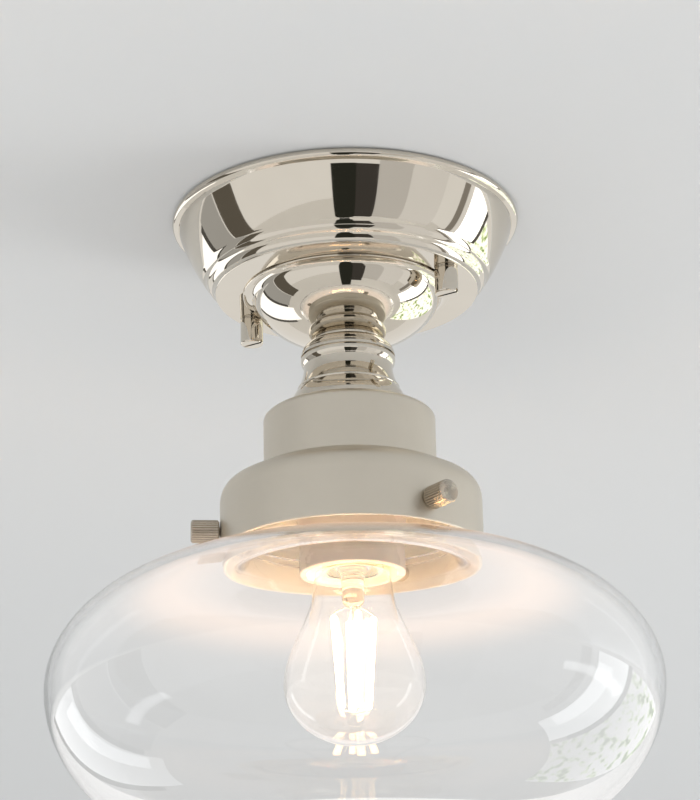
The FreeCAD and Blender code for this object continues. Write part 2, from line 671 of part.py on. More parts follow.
def make_tube_locknut():
    low = TUBE_WASHER_Z + TUBE_WASHER_THICK + SEAT_GAP
    nut = hexagon(TUBE_NUT_ACROSS, low, low + TUBE_NUT_HEIGHT)
    return nut.cut(rod(TUBE_R + THREAD_GAP, low - 1, low + TUBE_NUT_HEIGHT + 1))


def make_glass_holder():
    outline = Outline(TUBE_HOLE_R, HOLDER_TOP_Z)
    corner_run = HOLDER_LOWER_R - HOLDER_STEP_R
    shoulder_run = HOLDER_UPPER_R - HOLDER_TOP_FLAT_R
    outline.line(HOLDER_TOP_FLAT_R, HOLDER_TOP_Z)
    outline.ellipse(HOLDER_TOP_FLAT_R, HOLDER_UPPER_SIDE_Z, shoulder_run, HOLDER_UPPER_SHOULDER, 90, 0)
    outline.line(HOLDER_UPPER_R, HOLDER_STEP_Z)
    outline.arc(HOLDER_STEP_MID_R, HOLDER_STEP_Z - HOLDER_STEP_MID_DROP, HOLDER_STEP_R, HOLDER_CORNER_Z)
    outline.ellipse(HOLDER_STEP_R, HOLDER_SIDE_Z, corner_run, HOLDER_CORNER_HEIGHT, 90, 0)
    outline.line(HOLDER_LOWER_R, HOLDER_RIM_Z + 0.5)
    outline.arc(HOLDER_LOWER_R - 0.65, HOLDER_RIM_Z, HOLDER_INNER_R, HOLDER_RIM_Z + 0.5)
    outline.line(HOLDER_INNER_R, HOLDER_SIDE_Z)
    inner_corner_run = corner_run - HOLDER_WALL
    inner_corner_height = HOLDER_CORNER_HEIGHT - HOLDER_WALL
    outline.ellipse(HOLDER_STEP_R, HOLDER_SIDE_Z, inner_corner_run, inner_corner_height, 0, 90)
    inner_step_z = HOLDER_STEP_Z - HOLDER_STEP_MID_DROP - HOLDER_WALL
    inner_upper_r = HOLDER_UPPER_R - HOLDER_WALL
    outline.arc(HOLDER_STEP_MID_R - 0.3, inner_step_z, inner_upper_r, HOLDER_STEP_Z - HOLDER_WALL)
    outline.line(inner_upper_r, HOLDER_UPPER_SIDE_Z)
    inner_shoulder_run = shoulder_run - HOLDER_WALL
    inner_shoulder = HOLDER_UPPER_SHOULDER - HOLDER_WALL
    outline.ellipse(HOLDER_TOP_FLAT_R, HOLDER_UPPER_SIDE_Z, inner_shoulder_run, inner_shoulder, 0, 90)
    outline.line(TUBE_HOLE_R, HOLDER_TOP_Z - HOLDER_WALL)
    holder = outline.turned()
    for azimuth in THUMB_AZIMUTHS:
        start = Vector(HOLDER_INNER_R - 2, 0, THUMB_Z)
        hole = rod_along(THUMB_SHANK_R + HOLE_GAP, start, start + Vector(6, 0, 0))
        holder = holder.cut(turned_by(hole, azimuth))
    return holder


def make_holder_washer():
    top = HOLDER_TOP_Z - HOLDER_WALL - SEAT_GAP
    return tube(HOLDER_WASHER_R, TUBE_R + 0.15, top - HOLDER_WASHER_THICK, top)


def make_holder_locknut():
    top = HOLDER_NUT_UNDER_Z + HOLDER_NUT_HEIGHT
    nut = hexagon(HOLDER_NUT_ACROSS, HOLDER_NUT_UNDER_Z, top)
    return nut.cut(rod(TUBE_R + THREAD_GAP, HOLDER_NUT_UNDER_Z - 1, top + 1))


BUSH_INNER_FACE_R = HOLDER_INNER_R - BUSH_LENGTH


def make_screw_bushes():
    bushes = []
    drum = rod(HOLDER_INNER_R - SEAT_GAP, HOLDER_RIM_Z, HOLDER_SIDE_Z)
    for azimuth in THUMB_AZIMUTHS:
        start = Vector(BUSH_INNER_FACE_R, 0, THUMB_Z)
        end = Vector(HOLDER_INNER_R + 1, 0, THUMB_Z)
        bush = turned_by(rod_along(BUSH_R, start, end), azimuth).common(drum)
        bore = rod_along(THUMB_SHANK_R + THREAD_GAP, start - Vector(1, 0, 0), end + Vector(1, 0, 0))
        bushes.append(bush.cut(turned_by(bore, azimuth)))
    return Part.makeCompound(bushes)


TIP_END_R = NECK_R + TIP_TO_GLASS
SHANK_END_R = TIP_END_R + TIP_LENGTH + SEAT_GAP
HEAD_START_R = HOLDER_LOWER_R + THUMB_HEAD_GAP
HEAD_END_R = HEAD_START_R + THUMB_HEAD_LENGTH


def knurled_prism():
    """A round bar along X with straight ridges, cut by the chamfers at both ends."""
    corners = []
    for i in range(2 * THUMB_KNURLS + 1):
        angle = math.pi * i / THUMB_KNURLS
        r = THUMB_HEAD_R - (THUMB_KNURL_DEPTH if i % 2 else 0)
        corners.append(Vector(HEAD_START_R, r * math.cos(angle), r * math.sin(angle)))
    return Part.Face(Part.makePolygon(corners)).extrude(Vector(THUMB_HEAD_LENGTH, 0, 0))


def make_thumb_screw(azimuth):
    chamfer = THUMB_CHAMFER
    outline = Outline(0, HEAD_START_R)
    outline.line(THUMB_HEAD_R - chamfer, HEAD_START_R)
    outline.line(THUMB_HEAD_R, HEAD_START_R + chamfer)
    outline.line(THUMB_HEAD_R, HEAD_END_R - chamfer)
    outline.line(THUMB_HEAD_R - chamfer, HEAD_END_R)
    outline.line(0, HEAD_END_R)
    envelope = outline.turned()
    envelope.rotate(ORIGIN, Vector(0, 1, 0), 90)
    head = knurled_prism().common(envelope)
    shank = rod_along(THUMB_SHANK_R, Vector(SHANK_END_R, 0, 0), Vector(HEAD_START_R + 1, 0, 0))
    screw = head.fuse(shank)
    socket_depth = TIP_STEM_LENGTH + 0.3
    socket = rod_along(TIP_STEM_R + THREAD_GAP, Vector(SHANK_END_R - 1, 0, 0), Vector(SHANK_END_R + socket_depth, 0, 0))
    screw = screw.cut(socket)
    screw.translate(Vector(0, 0, THUMB_Z))
    return turned_by(screw, azimuth)


def make_thumb_screw_tip(azimuth):
    tip = rod_along(TIP_R, Vector(TIP_END_R, 0, 0), Vector(TIP_END_R + TIP_LENGTH, 0, 0))
    stem_end = TIP_END_R + TIP_LENGTH + TIP_STEM_LENGTH
    tip = tip.fuse(rod_along(TIP_STEM_R, Vector(TIP_END_R + 1, 0, 0), Vector(stem_end, 0, 0)))
    tip.translate(Vector(0, 0, THUMB_Z))
    return turned_by(tip, azimuth)


def crown_angle(r, semi_r):
    """Angle on the shade's upper ellipse at radius r."""
    return math.degrees(math.acos((r - SHADE_CROWN_R) / semi_r))


def make_glass_shade():
    semi_r = SHADE_R - SHADE_CROWN_R
    start = crown_angle(NECK_BEND_END_R, semi_r)
    bend_r = NECK_BEND_END_R
    bend_z = SHADE_WIDEST_Z + SHADE_UPPER_HEIGHT * math.sin(math.radians(start))
    slope = SHADE_UPPER_HEIGHT / semi_r / math.tan(math.radians(start))
    outline = Outline(LIP_R - 0.8, LIP_TOP_Z)
    outline.arc(LIP_R - 0.2, LIP_TOP_Z - 0.2, LIP_R, LIP_TOP_Z - 0.8)
    outline.line(LIP_R, LIP_UNDER_Z + 0.6)
    outline.line(LIP_R - 0.6, LIP_UNDER_Z)
    outline.line(NECK_R, LIP_UNDER_Z)
    outline.line(NECK_R, NECK_BEND_Z)
    reach = NECK_BEND_REACH
    outline.bend(NECK_R, NECK_BEND_Z - NECK_BEND_DROP, bend_r - reach, bend_z + reach * slope, bend_r, bend_z)
    outline.ellipse(SHADE_CROWN_R, SHADE_WIDEST_Z, semi_r, SHADE_UPPER_HEIGHT, start, 0)
    outline.ellipse(SHADE_CROWN_R, SHADE_WIDEST_Z, semi_r, SHADE_LOWER_HEIGHT, 0, -90)
    bottom_z = SHADE_WIDEST_Z - SHADE_LOWER_HEIGHT
    outline.line(0, bottom_z)
    outline.line(0, bottom_z + GLASS_WALL)
    outline.line(SHADE_CROWN_R, bottom_z + GLASS_WALL)
    inner_r = semi_r - GLASS_WALL
    outline.ellipse(SHADE_CROWN_R, SHADE_WIDEST_Z, inner_r, SHADE_LOWER_HEIGHT - GLASS_WALL, -90, 0)
    inner_height = SHADE_UPPER_HEIGHT - GLASS_WALL
    inner_end = crown_angle(NECK_BEND_END_R - 0.5, inner_r)
    outline.ellipse(SHADE_CROWN_R, SHADE_WIDEST_Z, inner_r, inner_height, 0, inner_end)
    inner_bend = outline.last
    neck_bore = NECK_R - GLASS_WALL
    inner_z = inner_bend.z + reach * slope
    bore_bend_z = NECK_BEND_Z - NECK_BEND_INNER_DROP
    bore_end_z = NECK_BEND_Z - NECK_BORE_STRAIGHT
    outline.bend(inner_bend.x - reach, inner_z, neck_bore, bore_bend_z, neck_bore, bore_end_z)
    outline.line(neck_bore, LIP_TOP_Z - 0.8)
    outline.arc(neck_bore + 0.25, LIP_TOP_Z - 0.25, neck_bore + 0.8, LIP_TOP_Z)
    return outline.turned()


def make_lampholder_cap():
    boss_end = LAMP_CAP_TOP_Z - CAP_BOSS_HEIGHT
    bell_end = boss_end - CAP_BELL_HEIGHT
    rim = bell_end - CAP_RIM_HEIGHT
    outline = Outline(TUBE_R + THREAD_GAP, LAMP_CAP_TOP_Z)
    outline.line(CAP_BOSS_R, LAMP_CAP_TOP_Z)
    outline.line(CAP_BOSS_R, boss_end)
    outline.bend(CAP_BOSS_R + 8, boss_end, SKIRT_R, bell_end + 5, SKIRT_R, bell_end)
    outline.line(SKIRT_R, rim)
    outline.line(SKIRT_R - CAP_WALL, rim)
    outline.line(SKIRT_R - CAP_WALL, bell_end)
    inner_start = CAP_BOSS_R + 7
    inner_boss = boss_end - CAP_WALL
    outline.bend(SKIRT_R - CAP_WALL, bell_end + 4, inner_start, inner_boss, CAP_BOSS_R - 1, inner_boss)
    outline.line(TUBE_R + THREAD_GAP, inner_boss)
    return outline.turned()


def terminal_angles():
    return (90.0, 210.0, 330.0)


def on_ring(r, degrees):
    angle = math.radians(degrees)
    return r * math.cos(angle), r * math.sin(angle)


def make_lampholder_insert():
    insert = rod(SKIRT_BORE_R - PORCELAIN_GAP, INSERT_UNDER_Z, INSERT_TOP_Z)
    for degrees in terminal_angles():
        x, y = on_ring(WIRE_HOLE_RING_R, degrees)
        insert = insert.cut(rod(WIRE_HOLE_R, INSERT_TOP_Z - WIRE_HOLE_DEPTH, INSERT_TOP_Z + 1, x, y))
        x, y = on_ring(HOLDER_SCREW_RING_R, degrees)
        insert = insert.cut(rod(HOLDER_SCREW_R + THREAD_GAP, INSERT_TOP_Z - WIRE_HOLE_DEPTH, INSERT_TOP_Z + 1, x, y))
    rivet_low = INSERT_UNDER_Z - 1
    rivet_high = INSERT_UNDER_Z + TONGUE_RIVET_LENGTH + 0.1
    return insert.cut(rod(TONGUE_RIVET_R + THREAD_GAP, rivet_low, rivet_high, TONGUE_RIVET_X))


def make_lampholder_terminal_screws():
    screws = []
    for degrees in terminal_angles():
        x, y = on_ring(HOLDER_SCREW_RING_R, degrees)
        head_under = INSERT_TOP_Z + SEAT_GAP
        head = rod(HOLDER_SCREW_HEAD_R, head_under, head_under + HOLDER_SCREW_HEAD_HEIGHT, x, y)
        shank_low = INSERT_TOP_Z - WIRE_HOLE_DEPTH + 0.5
        screw = head.fuse(rod(HOLDER_SCREW_R, shank_low, head_under, x, y))
        slot_low = head_under + HOLDER_SCREW_HEAD_HEIGHT - 0.7
        screws.append(screw.cut(box(x - 3, x + 3, y - 0.3, y + 0.3, slot_low, slot_low + 2)))
    return Part.makeCompound(screws)


def make_lampholder_skirt():
    foot = SKIRT_TOP_Z - SKIRT_LENGTH
    outline = Outline(SKIRT_R, SKIRT_TOP_Z)
    outline.line(SKIRT_R, foot + 0.9)
    outline.arc(SKIRT_R - 0.3, foot + 0.3, SKIRT_R - 1.0, foot)
    outline.line(SKIRT_BORE_R + 0.8, foot)
    outline.arc(SKIRT_BORE_R + 0.2, foot + 0.2, SKIRT_BORE_R, foot + 0.8)
    outline.line(SKIRT_BORE_R, LEDGE_Z - LEDGE_HEIGHT)
    outline.line(LEDGE_R, LEDGE_Z - LEDGE_HEIGHT)
    outline.line(LEDGE_R, LEDGE_Z)
    outline.line(SKIRT_BORE_R, LEDGE_Z)
    outline.line(SKIRT_BORE_R, SKIRT_TOP_Z)
    return outline.turned()


def make_lampholder_shell():
    flange_under = SHELL_TOP_Z - SHELL_FLANGE_THICK
    outline = Outline(SHELL_BORE_R, SHELL_TOP_Z)
    outline.line(SHELL_FLANGE_R, SHELL_TOP_Z)
    outline.line(SHELL_FLANGE_R, flange_under)
    outline.line(SHELL_R, flange_under)
    outline.line(SHELL_R, SHELL_TOP_Z - SHELL_LENGTH)
    outline.line(SHELL_BORE_R, SHELL_TOP_Z - SHELL_LENGTH)
    return outline.turned()


LAMP_TIP_Z = BULB_CAP_TOP_Z + INSULATOR_HEIGHT + BULB_CONTACT_HEIGHT


def make_lampholder_contact():
    top = SHELL_TOP_Z
    low = LAMP_TIP_Z + 0.1 + TONGUE_THICK
    path = [(-7.5, top), (-2.0, top), (2.5, low), (6.0, low)]
    under = [(x, z - TONGUE_THICK) for x, z in reversed(path)]
    half = TONGUE_WIDTH / 2
    corners = [Vector(x, -half, z) for x, z in path + under + path[:1]]
    tongue = Part.Face(Part.makePolygon(corners)).extrude(Vector(0, TONGUE_WIDTH, 0))
    rivet = rod(TONGUE_RIVET_R, top - TONGUE_THICK, INSERT_UNDER_Z + TONGUE_RIVET_LENGTH, TONGUE_RIVET_X)
    return tongue.fuse(rivet)


def make_supply_wire(pole_x, degrees):
    tube_x, tube_y = on_ring(WIRE_RING_R, degrees)
    hole_x, hole_y = on_ring(WIRE_HOLE_RING_R, degrees)
    places = [Vector(pole_x, INSERT_LENGTH / 2 - 4.0, POLE_Z),
              Vector(pole_x, WIRE_OUT_Y, POLE_Z),
              Vector(pole_x, WIRE_OUT_Y, WIRE_CROSS_Z),
              Vector(tube_x, tube_y, WIRE_CROSS_Z),
              Vector(tube_x, tube_y, WIRE_SPREAD_Z),
              Vector(hole_x, hole_y, WIRE_SPREAD_Z - 2.5),
              Vector(hole_x, hole_y, INSERT_TOP_Z - WIRE_HOLE_DEPTH + 0.5)]
    return wire_along(places, WIRE_BEND_R)


BULB_TANGENT_DROP = math.sqrt(BULB_R ** 2 - BULB_TANGENT_R ** 2)


def bulb_outline(outline, r, fillet_r, neck_r):
    """Lamp glass from the neck end down to the lowest point on the axis."""
    along_r = BULB_TANGENT_R / BULB_R
    along_z = BULB_TANGENT_DROP / BULB_R
    centre_r = (BULB_R + BULB_FILLET_R) * along_r
    centre_z = BULB_CENTRE_Z + (BULB_R + BULB_FILLET_R) * along_z
    outline.line(neck_r, BULB_NECK_TOP_Z)
    outline.line(centre_r - fillet_r, centre_z)
    mid = math.atan2(-along_z, -along_r)
    middle = (mid - math.pi) / 2
    outline.arc(centre_r + fillet_r * math.cos(middle), centre_z + fillet_r * math.sin(middle),
                along_r * r, BULB_CENTRE_Z + along_z * r)
    outline.arc(r, BULB_CENTRE_Z, r * math.cos(math.radians(-40)), BULB_CENTRE_Z + r * math.sin(math.radians(-40)))
    outline.arc(r * math.cos(math.radians(-66)), BULB_CENTRE_Z + r * math.sin(math.radians(-66)), 0, BULB_CENTRE_Z - r)
    return outline


def make_bulb_glass():
    spigot_top = BULB_CAP_RIM_Z + BULB_SPIGOT_LENGTH
    outer = Outline(0, spigot_top)
    outer.line(BULB_SPIGOT_R, spigot_top)
    outer.line(BULB_SPIGOT_R, BULB_CAP_RIM_Z - SEAT_GAP)
    outer.line(BULB_CAP_R, BULB_CAP_RIM_Z - SEAT_GAP)
    outer = bulb_outline(outer, BULB_R, BULB_FILLET_R, BULB_NECK_FOOT_R).turned()
    inner = Outline(0, spigot_top + 1)
    inner.line(BULB_SPIGOT_R - BULB_WALL, spigot_top + 1)
    inner.line(BULB_SPIGOT_R - BULB_WALL, BULB_CAP_RIM_Z - SEAT_GAP - BULB_WALL)
    inner_r = BULB_R - BULB_WALL
    inner = bulb_outline(inner, inner_r, BULB_FILLET_R + BULB_WALL, BULB_NECK_FOOT_R - BULB_WALL).turned()
    return outer.cut(inner)


def make_bulb_cap():
    outline = Outline(BULB_CAP_BORE_R, BULB_CAP_RIM_Z)
    outline.line(BULB_CAP_R, BULB_CAP_RIM_Z)
    z = BULB_CAP_RIM_Z + THREAD_START
    outline.line(BULB_CAP_R, z)
    for ring in range(THREAD_RINGS):
        outline.arc(BULB_CAP_GROOVE_R, z + THREAD_PITCH / 4, BULB_CAP_R - 0.3, z + THREAD_PITCH / 2)
        outline.arc(BULB_CAP_R, z + THREAD_PITCH * 3 / 4, BULB_CAP_R - 0.3, z + THREAD_PITCH)
        z += THREAD_PITCH
    outline.line(BULB_CAP_GROOVE_R, BULB_CAP_TOP_Z - 0.5)
    outline.line(BULB_CAP_GROOVE_R - 0.5, BULB_CAP_TOP_Z)
    outline.line(BULB_CAP_BORE_R - 1.0, BULB_CAP_TOP_Z)
    outline.line(BULB_CAP_BORE_R - 1.0, BULB_CAP_TOP_Z - 0.7)
    outline.line(BULB_CAP_BORE_R, BULB_CAP_TOP_Z - 0.7)
    return outline.turned()


def make_bulb_insulator():
    top = BULB_CAP_TOP_Z + INSULATOR_HEIGHT
    outline = Outline(0, BULB_CAP_TOP_Z + SEAT_GAP)
    outline.line(BULB_CAP_GROOVE_R - 0.8, BULB_CAP_TOP_Z + SEAT_GAP)
    outline.line(INSULATOR_TOP_R, top)
    outline.line(0, top)
    return outline.turned()


def make_bulb_contact():
    low = BULB_CAP_TOP_Z + INSULATOR_HEIGHT + SEAT_GAP
    rise = LAMP_TIP_Z - low
    outline = Outline(0, low)
    outline.line(BULB_CONTACT_R, low)
    outline.line(BULB_CONTACT_R, low + 0.25 * rise)
    outline.arc(0.87 * BULB_CONTACT_R, low + 0.74 * rise, BULB_CONTACT_FLAT_R, LAMP_TIP_Z)
    outline.line(0, LAMP_TIP_Z)
    return outline.turned()


BULB_STEM_TOP_Z = BULB_CAP_RIM_Z + BULB_SPIGOT_LENGTH - 1.0
BULB_STEM_END_Z = BULB_STEM_TOP_Z - BULB_STEM_LENGTH


def make_bulb_stem():
    outline = Outline(0, BULB_STEM_TOP_Z)
    outline.line(BULB_STEM_FLARE_R + 0.75, BULB_STEM_TOP_Z)
    outline.line(BULB_STEM_FLARE_R + 0.75, BULB_STEM_TOP_Z - 1.0)
    middle = BULB_STEM_TOP_Z - 8
    outline.bend(BULB_STEM_R + 1, BULB_STEM_TOP_Z - 3, BULB_STEM_R, middle + 3, BULB_STEM_R, middle)
    outline.line(BULB_STEM_R - 0.4, BULB_STEM_END_Z + 4)
    outline.bend(BULB_STEM_R - 0.8, BULB_STEM_END_Z + 1, 3.0, BULB_STEM_END_Z, 1.5, BULB_STEM_END_Z)
    outline.line(0, BULB_STEM_END_Z)
    return outline.turned()


def filament_ends(index):
    top_x, top_y = on_ring(FILAMENT_TOP_R, 45 + 90 * index)
    foot_x, foot_y = on_ring(FILAMENT_FOOT_R, 45 + 90 * index)
    return Vector(top_x, top_y, FILAMENT_TOP_Z), Vector(foot_x, foot_y, FILAMENT_FOOT_Z)


def make_bulb_filaments():
    sticks = []
    for index in range(FILAMENT_COUNT):
        top, foot = filament_ends(index)
        sticks.append(rod_along(FILAMENT_R, top, foot))
    return Part.makeCompound(sticks)


def make_bulb_support_wires():
    gap = 0.6
    foot_z = FILAMENT_FOOT_Z - 1.5
    wires = rod(SUPPORT_R * 1.6, foot_z - 0.5, BULB_STEM_END_Z + 2)
    for index in range(FILAMENT_COUNT):
        top, foot = filament_ends(index)
        along = (foot - top).normalize()
        below = foot + along * gap
        wires = wires.fuse(rod_along(SUPPORT_R, below, Vector(0, 0, foot_z)))
        above = top - along * gap
        wires = wires.fuse(rod_along(SUPPORT_R, above, Vector(0, 0, BULB_STEM_END_Z + 2.5)))
    return wires.cut(rod(BULB_STEM_R - BULB_STEM_WALL, BULB_STEM_END_Z, BULB_STEM_END_Z + WIRE_TRIM_HEIGHT))


def all_parts():
    parts = {
        "canopy": make_canopy(),
        "mounting_strap": make_mounting_strap(),
        "strap_studs": make_strap_studs(),
        "strap_stud_nuts": make_strap_stud_nuts(),
        "earth_screw": make_earth_screw(),
        "earth_tag": make_earth_tag(),
        "earth_link": make_earth_link(),
        "terminal_block": make_terminal_block(),
        "terminal_inserts": make_terminal_inserts(),
        "terminal_screws": make_terminal_screws(),
        "block_screw": make_block_screw(),
        "cup": make_cup(),
        "stem": make_stem(),
        "threaded_tube": make_threaded_tube(),
        "tube_washer": make_tube_washer(),
        "tube_locknut": make_tube_locknut(),
        "glass_holder": make_glass_holder(),
        "holder_washer": make_holder_washer(),
        "holder_locknut": make_holder_locknut(),
        "screw_bushes": make_screw_bushes(),
        "lampholder_cap": make_lampholder_cap(),
        "lampholder_insert": make_lampholder_insert(),
        "lampholder_terminal_screws": make_lampholder_terminal_screws(),
        "lampholder_skirt": make_lampholder_skirt(),
        "lampholder_shell": make_lampholder_shell(),
        "lampholder_contact": make_lampholder_contact(),
        "wire_earth": make_supply_wire(-POLE_PITCH, 210.0),
        "wire_neutral": make_supply_wire(0.0, 90.0),
        "wire_live": make_supply_wire(POLE_PITCH, 330.0),
        "canopy_nut_left": make_canopy_nut(-1),
        "canopy_nut_right": make_canopy_nut(1),
        "canopy_nut_washer_left": make_canopy_nut_washer(-1),
        "canopy_nut_washer_right": make_canopy_nut_washer(1),
        "glass_shade": make_glass_shade(),
        "bulb_contact": make_bulb_contact(),
        "bulb_insulator": make_bulb_insulator(),
        "bulb_cap": make_bulb_cap(),
        "bulb_glass": make_bulb_glass(),
        "bulb_stem": make_bulb_stem(),
        "bulb_filaments": make_bulb_filaments(),
        "bulb_support_wires": make_bulb_support_wires(),
    }
    for number, azimuth in enumerate(THUMB_AZIMUTHS, 1):
        parts[f"thumb_screw_{number}"] = make_thumb_screw(azimuth)
        parts[f"thumb_screw_tip_{number}"] = make_thumb_screw_tip(azimuth)
    return parts


os.makedirs("parts", exist_ok=True)
for name, shape in sorted(all_parts().items()):
    if not shape.isValid():
        print("not valid:", name)
    size = shape.BoundBox
    print(f"{name}: {len(shape.Solids)} solid(s), z {size.ZMin:.2f} to {size.ZMax:.2f}, volume {shape.Volume:.1f}")
    shape.exportStep(f"parts/{name}.step")
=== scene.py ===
import math

import bmesh
import bpy
from mathutils import Matrix, Vector


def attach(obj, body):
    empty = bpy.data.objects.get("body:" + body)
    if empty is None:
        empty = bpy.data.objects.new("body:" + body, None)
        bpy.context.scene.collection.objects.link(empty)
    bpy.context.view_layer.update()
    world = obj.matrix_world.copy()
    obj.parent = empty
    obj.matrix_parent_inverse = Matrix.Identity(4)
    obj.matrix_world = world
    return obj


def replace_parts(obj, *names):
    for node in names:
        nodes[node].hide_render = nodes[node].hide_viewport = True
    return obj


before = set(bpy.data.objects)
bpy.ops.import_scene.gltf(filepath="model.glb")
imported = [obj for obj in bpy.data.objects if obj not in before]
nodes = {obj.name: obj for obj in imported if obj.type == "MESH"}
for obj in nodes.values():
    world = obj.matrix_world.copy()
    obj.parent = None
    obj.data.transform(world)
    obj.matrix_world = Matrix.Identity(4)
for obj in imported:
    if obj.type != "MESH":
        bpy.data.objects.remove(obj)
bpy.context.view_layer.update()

# Everything is in metres, apart from the outlines of turned pieces. Those are pairs of radius and height in
# millimetres, and Profile.turned brings them to metres.
MM = 0.001


# ---------------------------------------------------------------- camera

# The camera stands below the fitting and looks up at it
VIEW_AZIMUTH = math.radians(32.15)
CAMERA_DISTANCE = 1.0320
CAMERA_HEIGHT = -0.46604
CAMERA_PITCH = math.radians(20.295)
CAMERA_YAW = math.radians(0.027)
CAMERA_ROLL = math.radians(-1.243)
CAMERA_LENS = 114.02
CAMERA_SENSOR = 36.0
CAMERA_NEAR = 0.05
CAMERA_FAR = 60.0


def make_camera():
    """Camera set up to look along +Y, and then turned round the fitting to the view azimuth."""
    level = math.cos(CAMERA_PITCH)
    ahead = (math.sin(CAMERA_YAW) * level, math.cos(CAMERA_YAW) * level, math.sin(CAMERA_PITCH))
    forward = Vector(ahead)
    right = forward.cross(Vector((0, 0, 1))).normalized()
    up = right.cross(forward)
    side = right * math.cos(CAMERA_ROLL) + up * math.sin(CAMERA_ROLL)
    top = -right * math.sin(CAMERA_ROLL) + up * math.cos(CAMERA_ROLL)
    turn = Matrix.Rotation(VIEW_AZIMUTH, 3, "Z")
    place = turn @ Vector((0, -CAMERA_DISTANCE, CAMERA_HEIGHT))
    axes = Matrix((turn @ side, turn @ top, turn @ -forward)).transposed()
    data = bpy.data.cameras.new("view_camera")
    data.sensor_width = CAMERA_SENSOR
    data.lens = CAMERA_LENS
    data.clip_start = CAMERA_NEAR
    data.clip_end = CAMERA_FAR
    camera = bpy.data.objects.new("view_camera", data)
    bpy.context.scene.collection.objects.link(camera)
    camera.matrix_world = Matrix.Translation(place) @ axes.to_4x4()
    bpy.context.scene.camera = camera


# ---------------------------------------------------------------- node helpers

BLACK = (0, 0, 0)
WHITE = (1, 1, 1)

# Nearly all of a noise texture's values lie between these two
NOISE_LOW = 0.3
NOISE_HIGH = 0.7

# A face counts as turned inward or down from this much on
INWARD_LEAST = 0.3


def new_material(name):
    material = bpy.data.materials.new(name)
    material.use_nodes = True
    tree = material.node_tree
    tree.nodes.clear()
    output = tree.nodes.new("ShaderNodeOutputMaterial")
    shader = tree.nodes.new("ShaderNodeBsdfPrincipled")
    tree.links.new(shader.outputs["BSDF"], output.inputs["Surface"])
    return material, tree, shader


def node_of(tree, kind):
    """The one node of a kind in a tree."""
    return next(node for node in tree.nodes if node.type == kind)


def feed(tree, terms, sockets):
    """Gives each socket its term: a link where that is an output, and otherwise a plain value."""
    for term, socket in zip(terms, sockets):
        if isinstance(term, bpy.types.NodeSocket):
            tree.links.new(term, socket)
        else:
            socket.default_value = term


def calculate(tree, operation, *terms):
    node = tree.nodes.new("ShaderNodeMath")
    node.operation = operation
    feed(tree, terms, node.inputs)
    return node.outputs["Value"]


def calculate_vector(tree, operation, *terms):
    node = tree.nodes.new("ShaderNodeVectorMath")
    node.operation = operation
    feed(tree, terms, node.inputs)
    return node.outputs["Value" if operation in ("LENGTH", "DOT_PRODUCT") else "Vector"]


def own_place(tree):
    """The part's own coordinates, so that what is drawn with them stays put in every view."""
    return tree.nodes.new("ShaderNodeTexCoord").outputs["Object"]


def height_at(tree, place):
    split = tree.nodes.new("ShaderNodeSeparateXYZ")
    tree.links.new(place, split.inputs["Vector"])
    return split.outputs["Z"]


def radius_at(tree, place):
    """Distance from the upright axis."""
    return calculate_vector(tree, "LENGTH", calculate_vector(tree, "MULTIPLY", place, (1, 1, 0)))


def noise(tree, scale, detail=3.0, place=None):
    texture = tree.nodes.new("ShaderNodeTexNoise")
    texture.inputs["Scale"].default_value = scale
    texture.inputs["Detail"].default_value = detail
    tree.links.new(own_place(tree) if place is None else place, texture.inputs["Vector"])
    return texture.outputs["Fac"]


def spun_lines(tree, scale):
    """Fine rings round the upright axis, as spinning and polishing leave them."""
    place = own_place(tree)
    joined = tree.nodes.new("ShaderNodeCombineXYZ")
    tree.links.new(radius_at(tree, place), joined.inputs["X"])
    tree.links.new(height_at(tree, place), joined.inputs["Y"])
    return noise(tree, scale, detail=2.0, place=joined.outputs["Vector"])


def span(tree, value, low, high, start=NOISE_LOW, end=NOISE_HIGH):
    """Runs from low to high while the value runs from start to end, and keeps to these outside."""
    ranged = tree.nodes.new("ShaderNodeMapRange")
    ranged.inputs["From Min"].default_value = start
    ranged.inputs["From Max"].default_value = end
    ranged.inputs["To Min"].default_value = low
    ranged.inputs["To Max"].default_value = high
    tree.links.new(value, ranged.inputs["Value"])
    return ranged.outputs["Result"]


def share(tree, value, start, end):
    """How far the value has come from start to end, from 0 to 1."""
    return span(tree, value, 0.0, 1.0, start, end)


def colour_ramp(tree, value, stops):
    """Colours at rising places from 0 to 1, and their blends between."""
    ramp = tree.nodes.new("ShaderNodeValToRGB")
    elements = ramp.color_ramp.elements
    elements[0].position = stops[0][0]
    elements[1].position = stops[-1][0]
    for place, _ in stops[1:-1]:
        elements.new(place)
    for element, (_, colour) in zip(elements, stops):
        element.color = (*colour, 1)
    tree.links.new(value, ramp.inputs["Fac"])
    return ramp.outputs["Color"]


def blend_colour(tree, value, low, high):
    return colour_ramp(tree, value, [(NOISE_LOW, low), (NOISE_HIGH, high)])


def bump(tree, shader, value, strength, distance):
    node = tree.nodes.new("ShaderNodeBump")
    node.inputs["Strength"].default_value = strength
    node.inputs["Distance"].default_value = distance
    tree.links.new(value, node.inputs["Height"])
    tree.links.new(node.outputs["Normal"], shader.inputs["Normal"])


def facing_inward(tree):
    """1 on the faces that look towards the upright axis or down, 0 on the others."""
    surface = tree.nodes.new("ShaderNodeNewGeometry")
    flat = calculate_vector(tree, "MULTIPLY", surface.outputs["Position"], (-1, -1, 0))
    inward = calculate_vector(tree, "NORMALIZE", flat)
    aim = calculate_vector(tree, "ADD", inward, (0, 0, -1))
    towards = calculate_vector(tree, "DOT_PRODUCT", aim, surface.outputs["True Normal"])
    return calculate(tree, "GREATER_THAN", towards, INWARD_LEAST)


# ---------------------------------------------------------------- metals

# Where the thumb screws point out from the axis, in degrees from +X, and their height
THUMB_AZIMUTHS = (-22.0, -142.0, 98.0)
THUMB_Z = -0.1448
